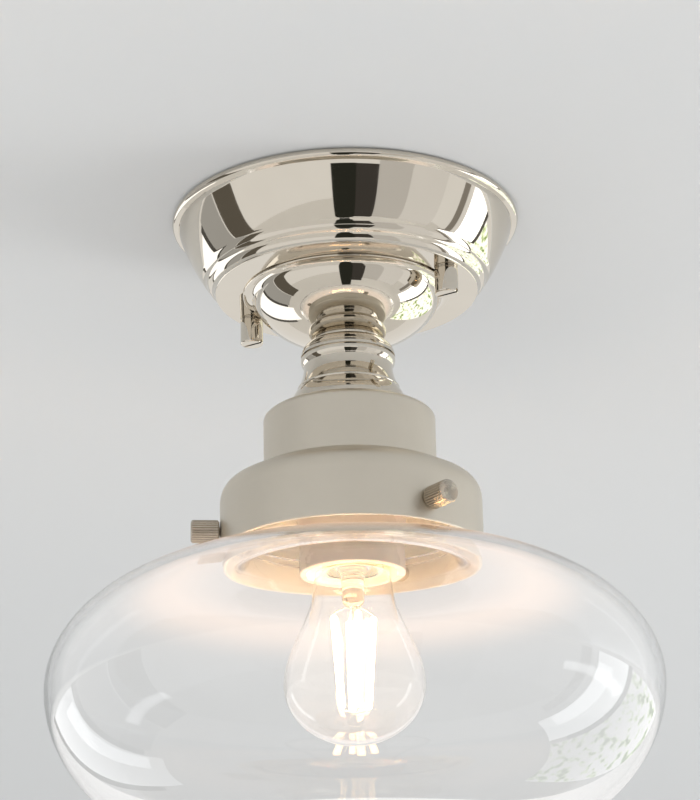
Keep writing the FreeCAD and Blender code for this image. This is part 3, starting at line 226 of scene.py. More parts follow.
# Ridges round a thumb screw's head
KNURL_LINES = 64.0
KNURL_DEPTH = 0.00007
# Paler colour painted on the spun metal's inner and downward faces for the lamp's light on them, and how
# much rougher these unfinished faces are
PAINTED_LAMPLIT_COLOUR = (0.86, 0.83, 0.78, 1)
UNFINISHED_ROUGHER = 0.30
# Strength of the warm glow painted on the lamp cap's inner faces for the sticks' light
CAP_PAINTED_GLOW = 0.55


def metal(name, dark, light, roughness, cloud, lines=None, line_depth=None):
    """Metal with a faint cloud in its colour and polish, and fine rings where lines gives their scale."""
    material, tree, shader = new_material(name)
    cloudy = noise(tree, cloud)
    tree.links.new(blend_colour(tree, cloudy, dark, light), shader.inputs["Base Color"])
    tree.links.new(span(tree, cloudy, *roughness), shader.inputs["Roughness"])
    shader.inputs["Metallic"].default_value = 1.0
    if lines:
        bump(tree, shader, spun_lines(tree, lines), strength=1.0, distance=line_depth)
    return material


def polished_nickel():
    return metal("polished_nickel", dark=(0.655, 0.605, 0.525), light=(0.675, 0.625, 0.545),
                 roughness=(0.030, 0.055), cloud=45.0, lines=900.0, line_depth=0.0000012)


def satin_nickel():
    """Satin outside; inside, the spun metal isn't finished and is rougher, and a paler colour is painted
    there for the lamp's light.
    """
    material = metal("satin_nickel", dark=(0.650, 0.600, 0.515), light=(0.675, 0.625, 0.540),
                     roughness=(0.36, 0.42), cloud=55.0, lines=2600.0, line_depth=0.000008)
    tree = material.node_tree
    shader = node_of(tree, "BSDF_PRINCIPLED")
    inside = facing_inward(tree)
    # Painted light: the inner and downward faces get a paler colour for the lamp's light on them
    mixed = tree.nodes.new("ShaderNodeMixRGB")
    mixed.inputs["Color2"].default_value = PAINTED_LAMPLIT_COLOUR
    tree.links.new(inside, mixed.inputs["Fac"])
    tree.links.new(shader.inputs["Base Color"].links[0].from_socket, mixed.inputs["Color1"])
    tree.links.new(mixed.outputs["Color"], shader.inputs["Base Color"])
    polish = shader.inputs["Roughness"].links[0].from_socket
    rougher = calculate(tree, "MULTIPLY_ADD", inside, UNFINISHED_ROUGHER, polish)
    tree.links.new(rougher, shader.inputs["Roughness"])
    return material


def turned_nickel():
    return metal("turned_nickel", dark=(0.640, 0.590, 0.505), light=(0.670, 0.620, 0.535),
                 roughness=(0.16, 0.24), cloud=180.0)


def knurled_nickel(index):
    """Fine straight ridges along a thumb screw's own axis."""
    material = metal("knurled_nickel_%d" % index, dark=(0.520, 0.470, 0.395), light=(0.570, 0.515, 0.435),
                     roughness=(0.20, 0.28), cloud=180.0)
    tree = material.node_tree
    azimuth = math.radians(THUMB_AZIMUTHS[index - 1])
    place = own_place(tree)
    sideways = (-math.sin(azimuth), math.cos(azimuth), 0)
    across = calculate_vector(tree, "DOT_PRODUCT", place, sideways)
    above = calculate(tree, "SUBTRACT", height_at(tree, place), THUMB_Z)
    angle = calculate(tree, "ARCTAN2", above, across)
    ridges = calculate(tree, "SINE", calculate(tree, "MULTIPLY", angle, KNURL_LINES))
    bump(tree, node_of(tree, "BSDF_PRINCIPLED"), ridges, strength=1.0, distance=KNURL_DEPTH)
    return material


def zinc_steel():
    material, tree, shader = new_material("zinc_plated_steel")
    spangle = noise(tree, scale=420.0, detail=1.0)
    colour = blend_colour(tree, spangle, low=(0.48, 0.50, 0.52), high=(0.66, 0.67, 0.66))
    tree.links.new(colour, shader.inputs["Base Color"])
    polish = span(tree, noise(tree, scale=150.0), low=0.28, high=0.45)
    tree.links.new(polish, shader.inputs["Roughness"])
    shader.inputs["Metallic"].default_value = 1.0
    bump(tree, shader, spangle, strength=0.3, distance=0.00003)
    return material


def brass():
    return metal("brass", dark=(0.62, 0.43, 0.17), light=(0.78, 0.57, 0.27),
                 roughness=(0.22, 0.38), cloud=160.0)


def lamp_cap_metal():
    """Bright rolled cap, with a warm glow painted on its inner faces for the sticks' light on them."""
    material = metal("lamp_cap_metal", dark=(0.68, 0.66, 0.62), light=(0.80, 0.79, 0.76),
                     roughness=(0.24, 0.36), cloud=140.0)
    tree = material.node_tree
    shader = node_of(tree, "BSDF_PRINCIPLED")
    # Painted light: a warm glow on the inner faces only
    painted_light = blend_colour(tree, facing_inward(tree), low=BLACK, high=(1.0, 0.80, 0.50))
    tree.links.new(painted_light, shader.inputs["Emission Color"])
    shader.inputs["Emission Strength"].default_value = CAP_PAINTED_GLOW
    return material


# ---------------------------------------------------------------- glass, glaze and plastics

SHADE_INDEX = 1.50
# Warm glow painted into the shade's crown for the lamp's light: strength and colour
SHADE_GLOW = 0.15
SHADE_GLOW_COLOUR = (1.0, 0.60, 0.36)
# The painted glow in the shade's crown, by distance from the axis, and by height
SHADE_GLOW_RADII = (0.045, 0.125)
SHADE_GLOW_HEIGHTS = (-0.184, -0.170)
SHADE_GLOW_LEVELS = ((0.0, 0.30), (0.20, 0.55), (0.40, 1.0), (0.50, 0.85), (0.72, 0.12), (1.0, 0.0))
LAMP_INDEX = 1.46
# Warm glow painted into the lamp glass for the sticks' light: strength, and its colour in the middle and at
# the outline
LAMP_GLOW = 0.045
LAMP_GLOW_MIDDLE = (1.0, 0.74, 0.52)
LAMP_GLOW_EDGE = (0.30, 0.20, 0.14)
FILAMENT_GLOW = 60.0


def porcelain():
    material, tree, shader = new_material("glazed_porcelain")
    cloudy = noise(tree, scale=70.0)
    colour = blend_colour(tree, cloudy, low=(0.52, 0.45, 0.38), high=(0.58, 0.50, 0.43))
    tree.links.new(colour, shader.inputs["Base Color"])
    tree.links.new(span(tree, cloudy, low=0.22, high=0.32), shader.inputs["Roughness"])
    shader.inputs["Coat Weight"].default_value = 0.35
    shader.inputs["Coat Roughness"].default_value = 0.08
    shader.inputs["Subsurface Weight"].default_value = 0.08
    shader.inputs["Subsurface Scale"].default_value = 0.002
    bump(tree, shader, noise(tree, scale=220.0), strength=0.25, distance=0.00006)
    return material


def clear_glass(name, index, wave_scale, wave_depth):
    """Colourless glass; a very slow wave in its surface stands for the blown wall."""
    material, tree, shader = new_material(name)
    shader.inputs["Base Color"].default_value = (*WHITE, 1)
    shader.inputs["Transmission Weight"].default_value = 1.0
    shader.inputs["Roughness"].default_value = 0.0
    shader.inputs["IOR"].default_value = index
    bump(tree, shader, noise(tree, wave_scale, detail=1.0), strength=0.5, distance=wave_depth)
    return material


def lamp_glass():
    """Thin clear glass with a warm glow of the sticks' light painted in, weaker at its outline."""
    material = clear_glass("lamp_glass", LAMP_INDEX, wave_scale=30.0, wave_depth=0.0001)
    tree = material.node_tree
    shader = node_of(tree, "BSDF_PRINCIPLED")
    facing = tree.nodes.new("ShaderNodeLayerWeight")
    facing.inputs["Blend"].default_value = 0.5
    glow_colour = blend_colour(tree, facing.outputs["Facing"], low=LAMP_GLOW_MIDDLE, high=LAMP_GLOW_EDGE)
    tree.links.new(glow_colour, shader.inputs["Emission Color"])
    shader.inputs["Emission Strength"].default_value = LAMP_GLOW
    return material


def shade_glass():
    """Clear glass with a warm glow painted into its crown near the neck, for the lamp's light that it
    catches.
    """
    material = clear_glass("clear_glass", SHADE_INDEX, wave_scale=9.0, wave_depth=0.0006)
    tree = material.node_tree
    shader = node_of(tree, "BSDF_PRINCIPLED")
    place = own_place(tree)
    outward = share(tree, radius_at(tree, place), *SHADE_GLOW_RADII)
    crown = share(tree, height_at(tree, place), *SHADE_GLOW_HEIGHTS)
    ring = colour_ramp(tree, outward, [(at, (level, level, level)) for at, level in SHADE_GLOW_LEVELS])
    painted_light = calculate(tree, "MULTIPLY", ring, crown)
    glow = colour_ramp(tree, painted_light, [(0.0, BLACK), (1.0, SHADE_GLOW_COLOUR)])
    tree.links.new(glow, shader.inputs["Emission Color"])
    shader.inputs["Emission Strength"].default_value = SHADE_GLOW
    return material


def filament_glow():
    material, tree, shader = new_material("filament_glow")
    mottle = noise(tree, scale=900.0, detail=1.0)
    warmth = blend_colour(tree, mottle, low=(1.0, 0.62, 0.28), high=(1.0, 0.72, 0.40))
    tree.links.new(warmth, shader.inputs["Emission Color"])
    tree.links.new(warmth, shader.inputs["Base Color"])
    shader.inputs["Emission Strength"].default_value = FILAMENT_GLOW
    shader.inputs["Roughness"].default_value = 0.6
    return material


def moulded(name, dark, light, roughness):
    """Moulded plastic or vitrite with a fine grain."""
    material, tree, shader = new_material(name)
    fine = noise(tree, scale=900.0)
    colour = blend_colour(tree, noise(tree, scale=120.0), dark, light)
    tree.links.new(colour, shader.inputs["Base Color"])
    tree.links.new(span(tree, fine, *roughness), shader.inputs["Roughness"])
    bump(tree, shader, fine, strength=0.3, distance=0.00003)
    return material


MATERIALS = {
    "polished": polished_nickel(),
    "satin": satin_nickel(),
    "turned": turned_nickel(),
    "thumb_1": knurled_nickel(1),
    "thumb_2": knurled_nickel(2),
    "thumb_3": knurled_nickel(3),
    "steel": zinc_steel(),
    "brass": brass(),
    "cap": lamp_cap_metal(),
    "porcelain": porcelain(),
    "shade_glass": shade_glass(),
    "lamp_glass": lamp_glass(),
    "glow": filament_glow(),
    "insulator": moulded("lamp_insulator", (0.012, 0.012, 0.014), (0.030, 0.030, 0.034), (0.10, 0.20)),
    "block": moulded("block_plastic", (0.74, 0.73, 0.70), (0.80, 0.79, 0.76), (0.40, 0.52)),
    "brown": moulded("wire_brown", (0.16, 0.07, 0.03), (0.21, 0.10, 0.05), (0.38, 0.50)),
    "blue": moulded("wire_blue", (0.03, 0.10, 0.38), (0.05, 0.14, 0.46), (0.38, 0.50)),
    "green": moulded("wire_green", (0.10, 0.36, 0.07), (0.62, 0.60, 0.08), (0.38, 0.50)),
}

NODE_MATERIALS = {
    "polished": ["canopy", "cup", "stem", "canopy_nut_left", "canopy_nut_right",
                 "canopy_nut_washer_left", "canopy_nut_washer_right"],
    "satin": ["glass_holder"],
    "turned": ["thumb_screw_tip_1", "thumb_screw_tip_2", "thumb_screw_tip_3", "screw_bushes"],
    "thumb_1": ["thumb_screw_1"],
    "thumb_2": ["thumb_screw_2"],
    "thumb_3": ["thumb_screw_3"],
    "steel": ["mounting_strap", "strap_studs", "strap_stud_nuts", "earth_screw", "earth_tag",
              "terminal_screws", "block_screw", "threaded_tube", "tube_washer", "tube_locknut",
              "holder_washer", "holder_locknut", "lampholder_terminal_screws"],
    "brass": ["terminal_inserts", "lampholder_shell", "lampholder_contact", "bulb_contact"],
    "cap": ["bulb_cap", "bulb_support_wires"],
    "porcelain": ["lampholder_skirt", "lampholder_insert", "lampholder_cap"],
    "insulator": ["bulb_insulator"],
    "block": ["terminal_block"],
    "brown": ["wire_live"],
    "blue": ["wire_neutral"],
    "green": ["wire_earth", "earth_link"],
    "shade_glass": ["glass_shade"],
    "lamp_glass": ["bulb_glass", "bulb_stem"],
    "glow": ["bulb_filaments"],
}


def paint(piece, material):
    piece.data.materials.clear()
    piece.data.materials.append(MATERIALS[material])


def paint_nodes():
    for material, names in NODE_MATERIALS.items():
        for name in names:
            paint(nodes[name], material)


# ---------------------------------------------------------------- meshes

ROUND_STEPS = 192
NUT_STEPS = 96
CUT_STEPS = 48
STICK_STEPS = 20
STICK_END_STEPS = 5
CREASE = 28.0
GLASS_CREASE = 50.0
LAMP_CREASE = 60.0

# Outline points closer than this are one point, and a radius below the next is on the axis, in millimetres
SAME_POINT = 1e-4
ON_AXIS = 1e-6
# A ring smaller than this is one point, in metres
NO_SIZE = 1e-9
# How far the middle of a rounded corner lies from the corner, as a share of each leg
CORNER_SHARE = 0.3
# Where an ellipse reaches its side and its bottom, in degrees
SIDE = 0
BOTTOM = -90


def mesh_object(mesh, name):
    """An object from a mesh under construction, which is freed."""
    data = bpy.data.meshes.new(name)
    mesh.to_mesh(data)
    mesh.free()
    made = bpy.data.objects.new(name, data)
    bpy.context.scene.collection.objects.link(made)
    return made


def smooth(data, crease):
    """Smooth faces that meet sharply where they turn by more than the crease, in degrees."""
    data.shade_smooth()
    data.set_sharp_from_angle(angle=math.radians(crease))


def finish_piece(mesh, name, body, material, crease):
    piece = mesh_object(mesh, name)
    smooth(piece.data, crease)
    paint(piece, material)
    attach(piece, body)
    return piece


def join_rings(mesh, pairs, steps):
    """Faces between the two rings of each pair; a ring may be a single point."""
    for lower, upper in pairs:
        if len(lower) == 1 and len(upper) == 1:
            continue
        for i in range(steps):
            j = (i + 1) % steps
            corners = [lower[i % len(lower)], lower[j % len(lower)]]
            corners += [upper[j % len(upper)], upper[i % len(upper)]]
            mesh.faces.new(list(dict.fromkeys(corners)))


def axes_along(start, end):
    along = (end - start).normalized()
    side = along.orthogonal().normalized()
    return along, side, along.cross(side)


def ring_at(mesh, centre, side, across, radius, steps):
    """A circle in the plane of side and across, or one point where it has no size."""
    if radius < NO_SIZE:
        return [mesh.verts.new(centre)]
    ring = []
    for i in range(steps):
        angle = math.tau * i / steps
        spoke = side * math.cos(angle) + across * math.sin(angle)
        ring.append(mesh.verts.new(centre + spoke * radius))
    return ring


class Profile:
    """An outline of radius and height in millimetres, made of lines, arcs, ellipses and Bezier curves."""

    def __init__(self, radius, height):
        self.points = [(radius, height)]

    def line(self, *points):
        self.points += points

    def arc(self, via, end, steps):
        """Circle arc through three points."""
        (ax, ay), (bx, by), (cx, cy) = self.points[-1], via, end
        d = 2 * (ax * (by - cy) + bx * (cy - ay) + cx * (ay - by))
        a2, b2, c2 = ax * ax + ay * ay, bx * bx + by * by, cx * cx + cy * cy
        ox = (a2 * (by - cy) + b2 * (cy - ay) + c2 * (ay - by)) / d
        oy = (a2 * (cx - bx) + b2 * (ax - cx) + c2 * (bx - ax)) / d
        radius = math.hypot(ax - ox, ay - oy)
        start = math.atan2(ay - oy, ax - ox)
        middle = math.remainder(math.atan2(by - oy, bx - ox) - start, math.tau)
        sweep = math.remainder(math.atan2(cy - oy, cx - ox) - start, math.tau)
        if (middle > 0) != (sweep > 0):
            sweep += math.tau if middle > 0 else -math.tau
        for i in range(1, steps + 1):
            angle = start + sweep * i / steps
            self.points.append((ox + radius * math.cos(angle), oy + radius * math.sin(angle)))

    def round_corner(self, corner, end, steps=8):
        """Rounds the corner between the last point and the end point."""
        start = self.points[-1]
        legs = [(s - c) + (e - c) for s, e, c in zip(start, end, corner)]
        via = tuple(c + CORNER_SHARE * leg for c, leg in zip(corner, legs))
        self.arc(via, end, steps)

    def ellipse(self, centre, semis, start, end, steps=60):
        """Ellipse arc between two angles in degrees."""
        for i in range(steps + 1):
            angle = math.radians(start + (end - start) * i / steps)
            point = (centre[0] + semis[0] * math.cos(angle), centre[1] + semis[1] * math.sin(angle))
            if math.dist(point, self.points[-1]) > SAME_POINT:
                self.points.append(point)

    def bend(self, first, second, end, steps=30):
        """Bezier curve to the end point, with two handles."""
        knots = (self.points[-1], first, second, end)
        for i in range(1, steps + 1):
            t = i / steps
            weights = ((1 - t) ** 3, 3 * t * (1 - t) ** 2, 3 * t * t * (1 - t), t ** 3)
            self.points.append(tuple(sum(w * k[axis] for w, k in zip(weights, knots)) for axis in (0, 1)))

    def turned(self, name, body, material, slot, steps=ROUND_STEPS, crease=CREASE, at=0.0):
        """Turns the closed outline round an upright axis, which stands at metres along X."""
        points = [p for i, p in enumerate(self.points) if math.dist(p, self.points[i - 1]) > SAME_POINT]
        mesh = bmesh.new()
        rings = []
        for radius, height in points:
            if radius < ON_AXIS:
                rings.append([mesh.verts.new((at, 0, height * MM))])
                continue
            ring = []
            for i in range(steps):
                angle = math.tau * i / steps
                x, y = radius * MM * math.cos(angle), radius * MM * math.sin(angle)
                ring.append(mesh.verts.new((at + x, y, height * MM)))
            rings.append(ring)
        join_rings(mesh, list(zip(rings, rings[1:] + rings[:1])), steps)
        bmesh.ops.recalc_face_normals(mesh, faces=mesh.faces)
        return finish_piece(mesh, name, body, material, crease)


def cut_with(piece, mesh):
    """Takes a closed form out of a piece for good."""
    bmesh.ops.recalc_face_normals(mesh, faces=mesh.faces)
    cutter = mesh_object(mesh, "cutter")
    change = piece.modifiers.new("cut", "BOOLEAN")
    change.operation = "DIFFERENCE"
    change.solver = "EXACT"
    change.object = cutter
    bpy.context.view_layer.update()
    made = bpy.data.meshes.new_from_object(piece.evaluated_get(bpy.context.evaluated_depsgraph_get()))
    piece.modifiers.clear()
    piece.data = made
    smooth(made, CREASE)
    bpy.data.objects.remove(cutter)


def cut_round(piece, start, end, radius):
    start, end = Vector(start), Vector(end)
    _, side, across = axes_along(start, end)
    mesh = bmesh.new()
    rings = [ring_at(mesh, centre, side, across, radius, CUT_STEPS) for centre in (start, end)]
    join_rings(mesh, [rings], CUT_STEPS)
    for ring in rings:
        mesh.faces.new(ring)
    cut_with(piece, mesh)


def cut_block(piece, low, high):
    mesh = bmesh.new()
    bmesh.ops.create_cube(mesh, size=1.0)
    for vertex in mesh.verts:
        for axis in range(3):
            vertex.co[axis] = high[axis] if vertex.co[axis] > 0 else low[axis]
    cut_with(piece, mesh)


def capsule(mesh, start, end, radius):
    """A rod with round ends, added to a mesh."""
    along, side, across = axes_along(start, end)
    angles = [math.pi / 2 * i / STICK_END_STEPS for i in range(STICK_END_STEPS + 1)]
    stations = [(start + along * radius * (1 - math.cos(a)), radius * math.sin(a)) for a in angles]
    stations += [(end - along * radius * (1 - math.cos(a)), radius * math.sin(a)) for a in angles[::-1]]
    rings = [ring_at(mesh, centre, side, across, size, STICK_STEPS) for centre, size in stations]
    join_rings(mesh, list(zip(rings, rings[1:])), STICK_STEPS)


# ---------------------------------------------------------------- canopy, cup and stem

# Hole that the threaded tube passes through, in the canopy, the cup and the stem
TUBE_HOLE_R = 5.4

# The two studs stand this far from the axis
STUD_PLACE = 0.0508
STUD_HOLE_R = 0.00235
STUD_HOLE_SPAN = (-0.036, -0.032)

CANOPY_FACE_Z = -34.9
CANOPY_SHEET = 1.2
CANOPY_START = (75.6, 0.0)
CANOPY_BEAD = ((76.8, -1.9), (75.2, -3.8))
CANOPY_LIP = ((74.0, -4.3), (73.6, -5.8))
CANOPY_BAND = ((71.8, -10.6), (67.6, -20.4), (63.4, -26.2))
CANOPY_GROOVE = ((62.3, -27.35), (61.7, -28.3))
CANOPY_RING = ((61.2, -29.5), (59.9, -30.7))
CANOPY_COVE = ((58.5, -32.2), (57.9, -34.3))
CANOPY_EDGE = ((57.7, -34.75), (57.2, CANOPY_FACE_Z))
CANOPY_INNER_CORNER_R = 56.5
CANOPY_INNER_RING = ((58.2, -30.7), (60.2, -28.9), (61.6, -26.4))
CANOPY_INNER_BAND = ((66.4, -20.4), (70.6, -10.6), (72.4, -5.8))
CANOPY_INNER_LIP = (74.0, -3.2)
CANOPY_INNER_BEAD = ((75.6, -1.9), (74.4, 0.0))

CUP_CENTRE = (0.0, -33.4)
CUP_SEMIS = (41.6, 25.4)
CUP_SHEET = 1.0
CUP_RIM_Z = -34.95
CUP_RIM_ANGLE = -11.24
CUP_RIM_INNER_R = 40.0
CUP_FLANGE_R = 45.4
CUP_FLANGE_EDGE = ((45.7, -35.35), (45.2, -35.75))
CUP_FLANGE_FOOT = ((42.0, -36.7), (40.8, -38.35))
CUP_FLOOR_Z = -56.97
CUP_FLOOR_ANGLE = -68.13
CUP_FLOOR_INNER_R = 15.1

STEM_TOP_Z = -57.02
STEM_FOOT_Z = -90.35
STEM_FOOT_R = 26.2
STEM_SEAT = ((15.1, STEM_TOP_Z), (15.4, -57.32), (15.4, -58.62), (16.5, -58.62))
STEM_SHOULDER = ((19.55, -61.2), (20.6, -65.0))
STEM_GROOVE = ((19.3, -65.05), (19.3, -65.75), (20.6, -65.9))
STEM_SHOULDER_FOOT = ((20.55, -67.3), (19.65, -69.2))
STEM_NECK_TOP = (19.45, -69.5)
STEM_WAIST = ((19.25, -73.0), (20.5, -76.4), (21.8, -79.1))
STEM_BEAD = ((22.3, -79.7), (22.2, -80.4))
STEM_FLARE = ((23.6, -82.3), (25.9, -86.3), (STEM_FOOT_R, -89.6))


def make_canopy():
    """Spun canopy: rolled bead, tapered band, groove, ring, cove and a flat underside."""
    inside_z = CANOPY_FACE_Z + CANOPY_SHEET
    profile = Profile(*CANOPY_START)
    profile.arc(*CANOPY_BEAD, steps=20)
    profile.line(*CANOPY_LIP)
    profile.bend(*CANOPY_BAND, steps=40)
    profile.arc(*CANOPY_GROOVE, steps=10)
    profile.arc(*CANOPY_RING, steps=18)
    profile.arc(*CANOPY_COVE, steps=16)
    profile.arc(*CANOPY_EDGE, steps=8)
    profile.line((TUBE_HOLE_R, CANOPY_FACE_Z), (TUBE_HOLE_R, inside_z), (CANOPY_INNER_CORNER_R, inside_z))
    profile.line(*CANOPY_INNER_RING)
    profile.bend(*CANOPY_INNER_BAND)
    profile.line(CANOPY_INNER_LIP)
    profile.arc(*CANOPY_INNER_BEAD, steps=12)
    piece = profile.turned("canopy_spun", "fitting", "polished", "polished_nickel")
    for place in (-STUD_PLACE, STUD_PLACE):
        start, end = ((place, 0, z) for z in STUD_HOLE_SPAN)
        cut_round(piece, start, end, STUD_HOLE_R)
    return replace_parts(piece, "canopy")


def make_cup():
    """Spun bowl with a small flange at its rim and a flat floor round the tube."""
    inside = [semi - CUP_SHEET for semi in CUP_SEMIS]
    inside_z = CUP_FLOOR_Z + CUP_SHEET
    profile = Profile(CUP_FLANGE_R, CUP_RIM_Z)
    profile.arc(*CUP_FLANGE_EDGE, steps=10)
    profile.arc(*CUP_FLANGE_FOOT, steps=14)
    profile.ellipse(CUP_CENTRE, CUP_SEMIS, CUP_RIM_ANGLE, CUP_FLOOR_ANGLE, steps=56)
    profile.line((TUBE_HOLE_R, CUP_FLOOR_Z), (TUBE_HOLE_R, inside_z), (CUP_FLOOR_INNER_R, inside_z))
    profile.ellipse(CUP_CENTRE, inside, CUP_FLOOR_ANGLE, CUP_RIM_ANGLE, steps=40)
    profile.line((CUP_RIM_INNER_R, CUP_RIM_Z))
    piece = profile.turned("cup_spun", "fitting", "polished", "polished_nickel")
    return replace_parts(piece, "cup")


def make_stem():
    """Turned baluster: shoulder with a fine groove, waist, bead and flared foot."""
    profile = Profile(TUBE_HOLE_R, STEM_TOP_Z)
    profile.line(*STEM_SEAT)
    profile.arc(*STEM_SHOULDER, steps=24)
    profile.line(*STEM_GROOVE)
    profile.arc(*STEM_SHOULDER_FOOT, steps=18)
    profile.line(STEM_NECK_TOP)
    profile.bend(*STEM_WAIST)
    profile.arc(*STEM_BEAD, steps=8)
    profile.bend(*STEM_FLARE, steps=24)
    profile.line((STEM_FOOT_R, STEM_FOOT_Z), (TUBE_HOLE_R, STEM_FOOT_Z))
    piece = profile.turned("stem_turned", "fitting", "polished", "polished_nickel")
    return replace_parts(piece, "stem")


# ---------------------------------------------------------------- canopy nuts

NUT_TOP_Z = -35.45
NUT_FOOT_Z = -46.95
NUT_TOP_FLAT_R = 4.7
NUT_TOP_EDGE = ((5.0, -35.57), (5.1, -35.85))
NUT_FOOT_START = (5.1, -46.25)
NUT_FOOT_EDGE = ((4.9, -46.75), (4.4, NUT_FOOT_Z))
NUT_BORE_R = 0.0020
NUT_BORE_SPAN = (-0.030, -0.0434)
NUT_SLOT_REACH = 0.007
NUT_SLOT_HALF = 0.0006
NUT_SLOT_SPAN = (-0.0480, -0.0455)


def make_cap_nut(side):
    """Round nut below the canopy, with a screwdriver slot across its end."""
    name = "right" if side > 0 else "left"
    place = side * STUD_PLACE
    profile = Profile(0, NUT_TOP_Z)
    profile.line((NUT_TOP_FLAT_R, NUT_TOP_Z))
    profile.arc(*NUT_TOP_EDGE, steps=6)
    profile.line(NUT_FOOT_START)
    profile.arc(*NUT_FOOT_EDGE, steps=8)
    profile.line((0, NUT_FOOT_Z))
    piece = profile.turned("nut_turned_" + name, "nut_" + name, "polished", "polished_nickel",
                           steps=NUT_STEPS, at=place)
    start, end = ((place, 0, z) for z in NUT_BORE_SPAN)
    cut_round(piece, start, end, NUT_BORE_R)
    slot_foot, slot_top = NUT_SLOT_SPAN
    cut_block(piece, (place - NUT_SLOT_REACH, -NUT_SLOT_HALF, slot_foot),
              (place + NUT_SLOT_REACH, NUT_SLOT_HALF, slot_top))
    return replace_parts(piece, "canopy_nut_" + name)


# ---------------------------------------------------------------- lamp

LAMP_CENTRE = (0.0, -210.8)
LAMP_SEMIS = (29.8, 26.4)
LAMP_WALL = 0.7
LAMP_FLANK = ((29.8, -203.8), (26.9, -197.6), (24.2, -191.0))
LAMP_NECK = ((21.6, -184.8), (17.4, -178.2), (16.9, -165.6))
LAMP_NECK_TOP = (16.4, -160.6)
LAMP_SHOULDER = ((15.2, -159.4), (13.8, -159.05))
LAMP_MOUTH = ((11.6, -159.0), (11.6, -154.0), (10.9, -154.0), (10.9, -159.6), (13.6, -159.8))
LAMP_INNER_SHOULDER = ((15.0, -160.2), (15.7, -161.2))
LAMP_INNER_NECK_TOP = (16.2, -165.8)
LAMP_INNER_NECK = ((16.7, -178.0), (20.9, -184.6), (23.45, -190.7))
LAMP_INNER_FLANK = ((26.15, -197.3), (29.1, -203.7), (29.1, -210.8))

STICK_COUNT = 4
STICK_R = 1.5
STICK_TOP_R = 8.6
STICK_TOP_Z = -181.0
STICK_FOOT_R = 5.6
STICK_FOOT_Z = -222.0


def make_bulb():
    """Clear lamp envelope, pear-shaped, with a thin wall."""
    inside = [semi - LAMP_WALL for semi in LAMP_SEMIS]
    profile = Profile(0, LAMP_CENTRE[1] - LAMP_SEMIS[1])
    profile.ellipse(LAMP_CENTRE, LAMP_SEMIS, BOTTOM, SIDE)
    profile.bend(*LAMP_FLANK)
    profile.bend(*LAMP_NECK)
    profile.line(LAMP_NECK_TOP)
    profile.arc(*LAMP_SHOULDER, steps=8)
    profile.line(*LAMP_MOUTH)
    profile.arc(*LAMP_INNER_SHOULDER, steps=6)
    profile.line(LAMP_INNER_NECK_TOP)
    profile.bend(*LAMP_INNER_NECK)
    profile.bend(*LAMP_INNER_FLANK)
    profile.ellipse(LAMP_CENTRE, inside, SIDE, BOTTOM)
    piece = profile.turned("bulb_envelope", "lamp", "lamp_glass", "lamp_glass", crease=LAMP_CREASE)
    piece.visible_shadow = False
    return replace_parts(piece, "bulb_glass")


def make_filaments():
    """Four coated sticks leaning inward, each with rounded ends."""
    mesh = bmesh.new()
    for index in range(STICK_COUNT):
        angle = math.tau * (index + 0.5) / STICK_COUNT
        top = Vector((STICK_TOP_R * math.cos(angle), STICK_TOP_R * math.sin(angle), STICK_TOP_Z)) * MM
        foot = Vector((STICK_FOOT_R * math.cos(angle), STICK_FOOT_R * math.sin(angle), STICK_FOOT_Z)) * MM
        capsule(mesh, top, foot, STICK_R * MM)
    bmesh.ops.recalc_face_normals(mesh, faces=mesh.faces)
    piece = finish_piece(mesh, "filament_sticks", "lamp", "glow", LAMP_CREASE)
    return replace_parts(piece, "bulb_filaments")


# ---------------------------------------------------------------- shade

GLASS_WALL = 3.0
NECK_OUTER_R = 47.0
NECK_INNER_R = NECK_OUTER_R - GLASS_WALL
NECK_FOOT_Z = -150.5
NECK_BEND = ((NECK_OUTER_R, -158.5), (56.0, -160.81), (66.0, -162.2))
NECK_INNER_BEND = ((55.5, -163.76), (NECK_INNER_R, -160.5), (NECK_INNER_R, -151.5))
RIM_R = 50.0
RIM_TOP_Z = -138.8
RIM_FOOT_Z = -142.8
RIM_ROUND = 1.0
# The belly is two quarter ellipses about one centre, the lower one deeper
BELLY_CENTRE = (50.0, -214.1)
BELLY_REACH = 78.9
BELLY_RISE = 53.0
BELLY_DROP = 63.9
BELLY_SHOULDER_ANGLE = 78.3


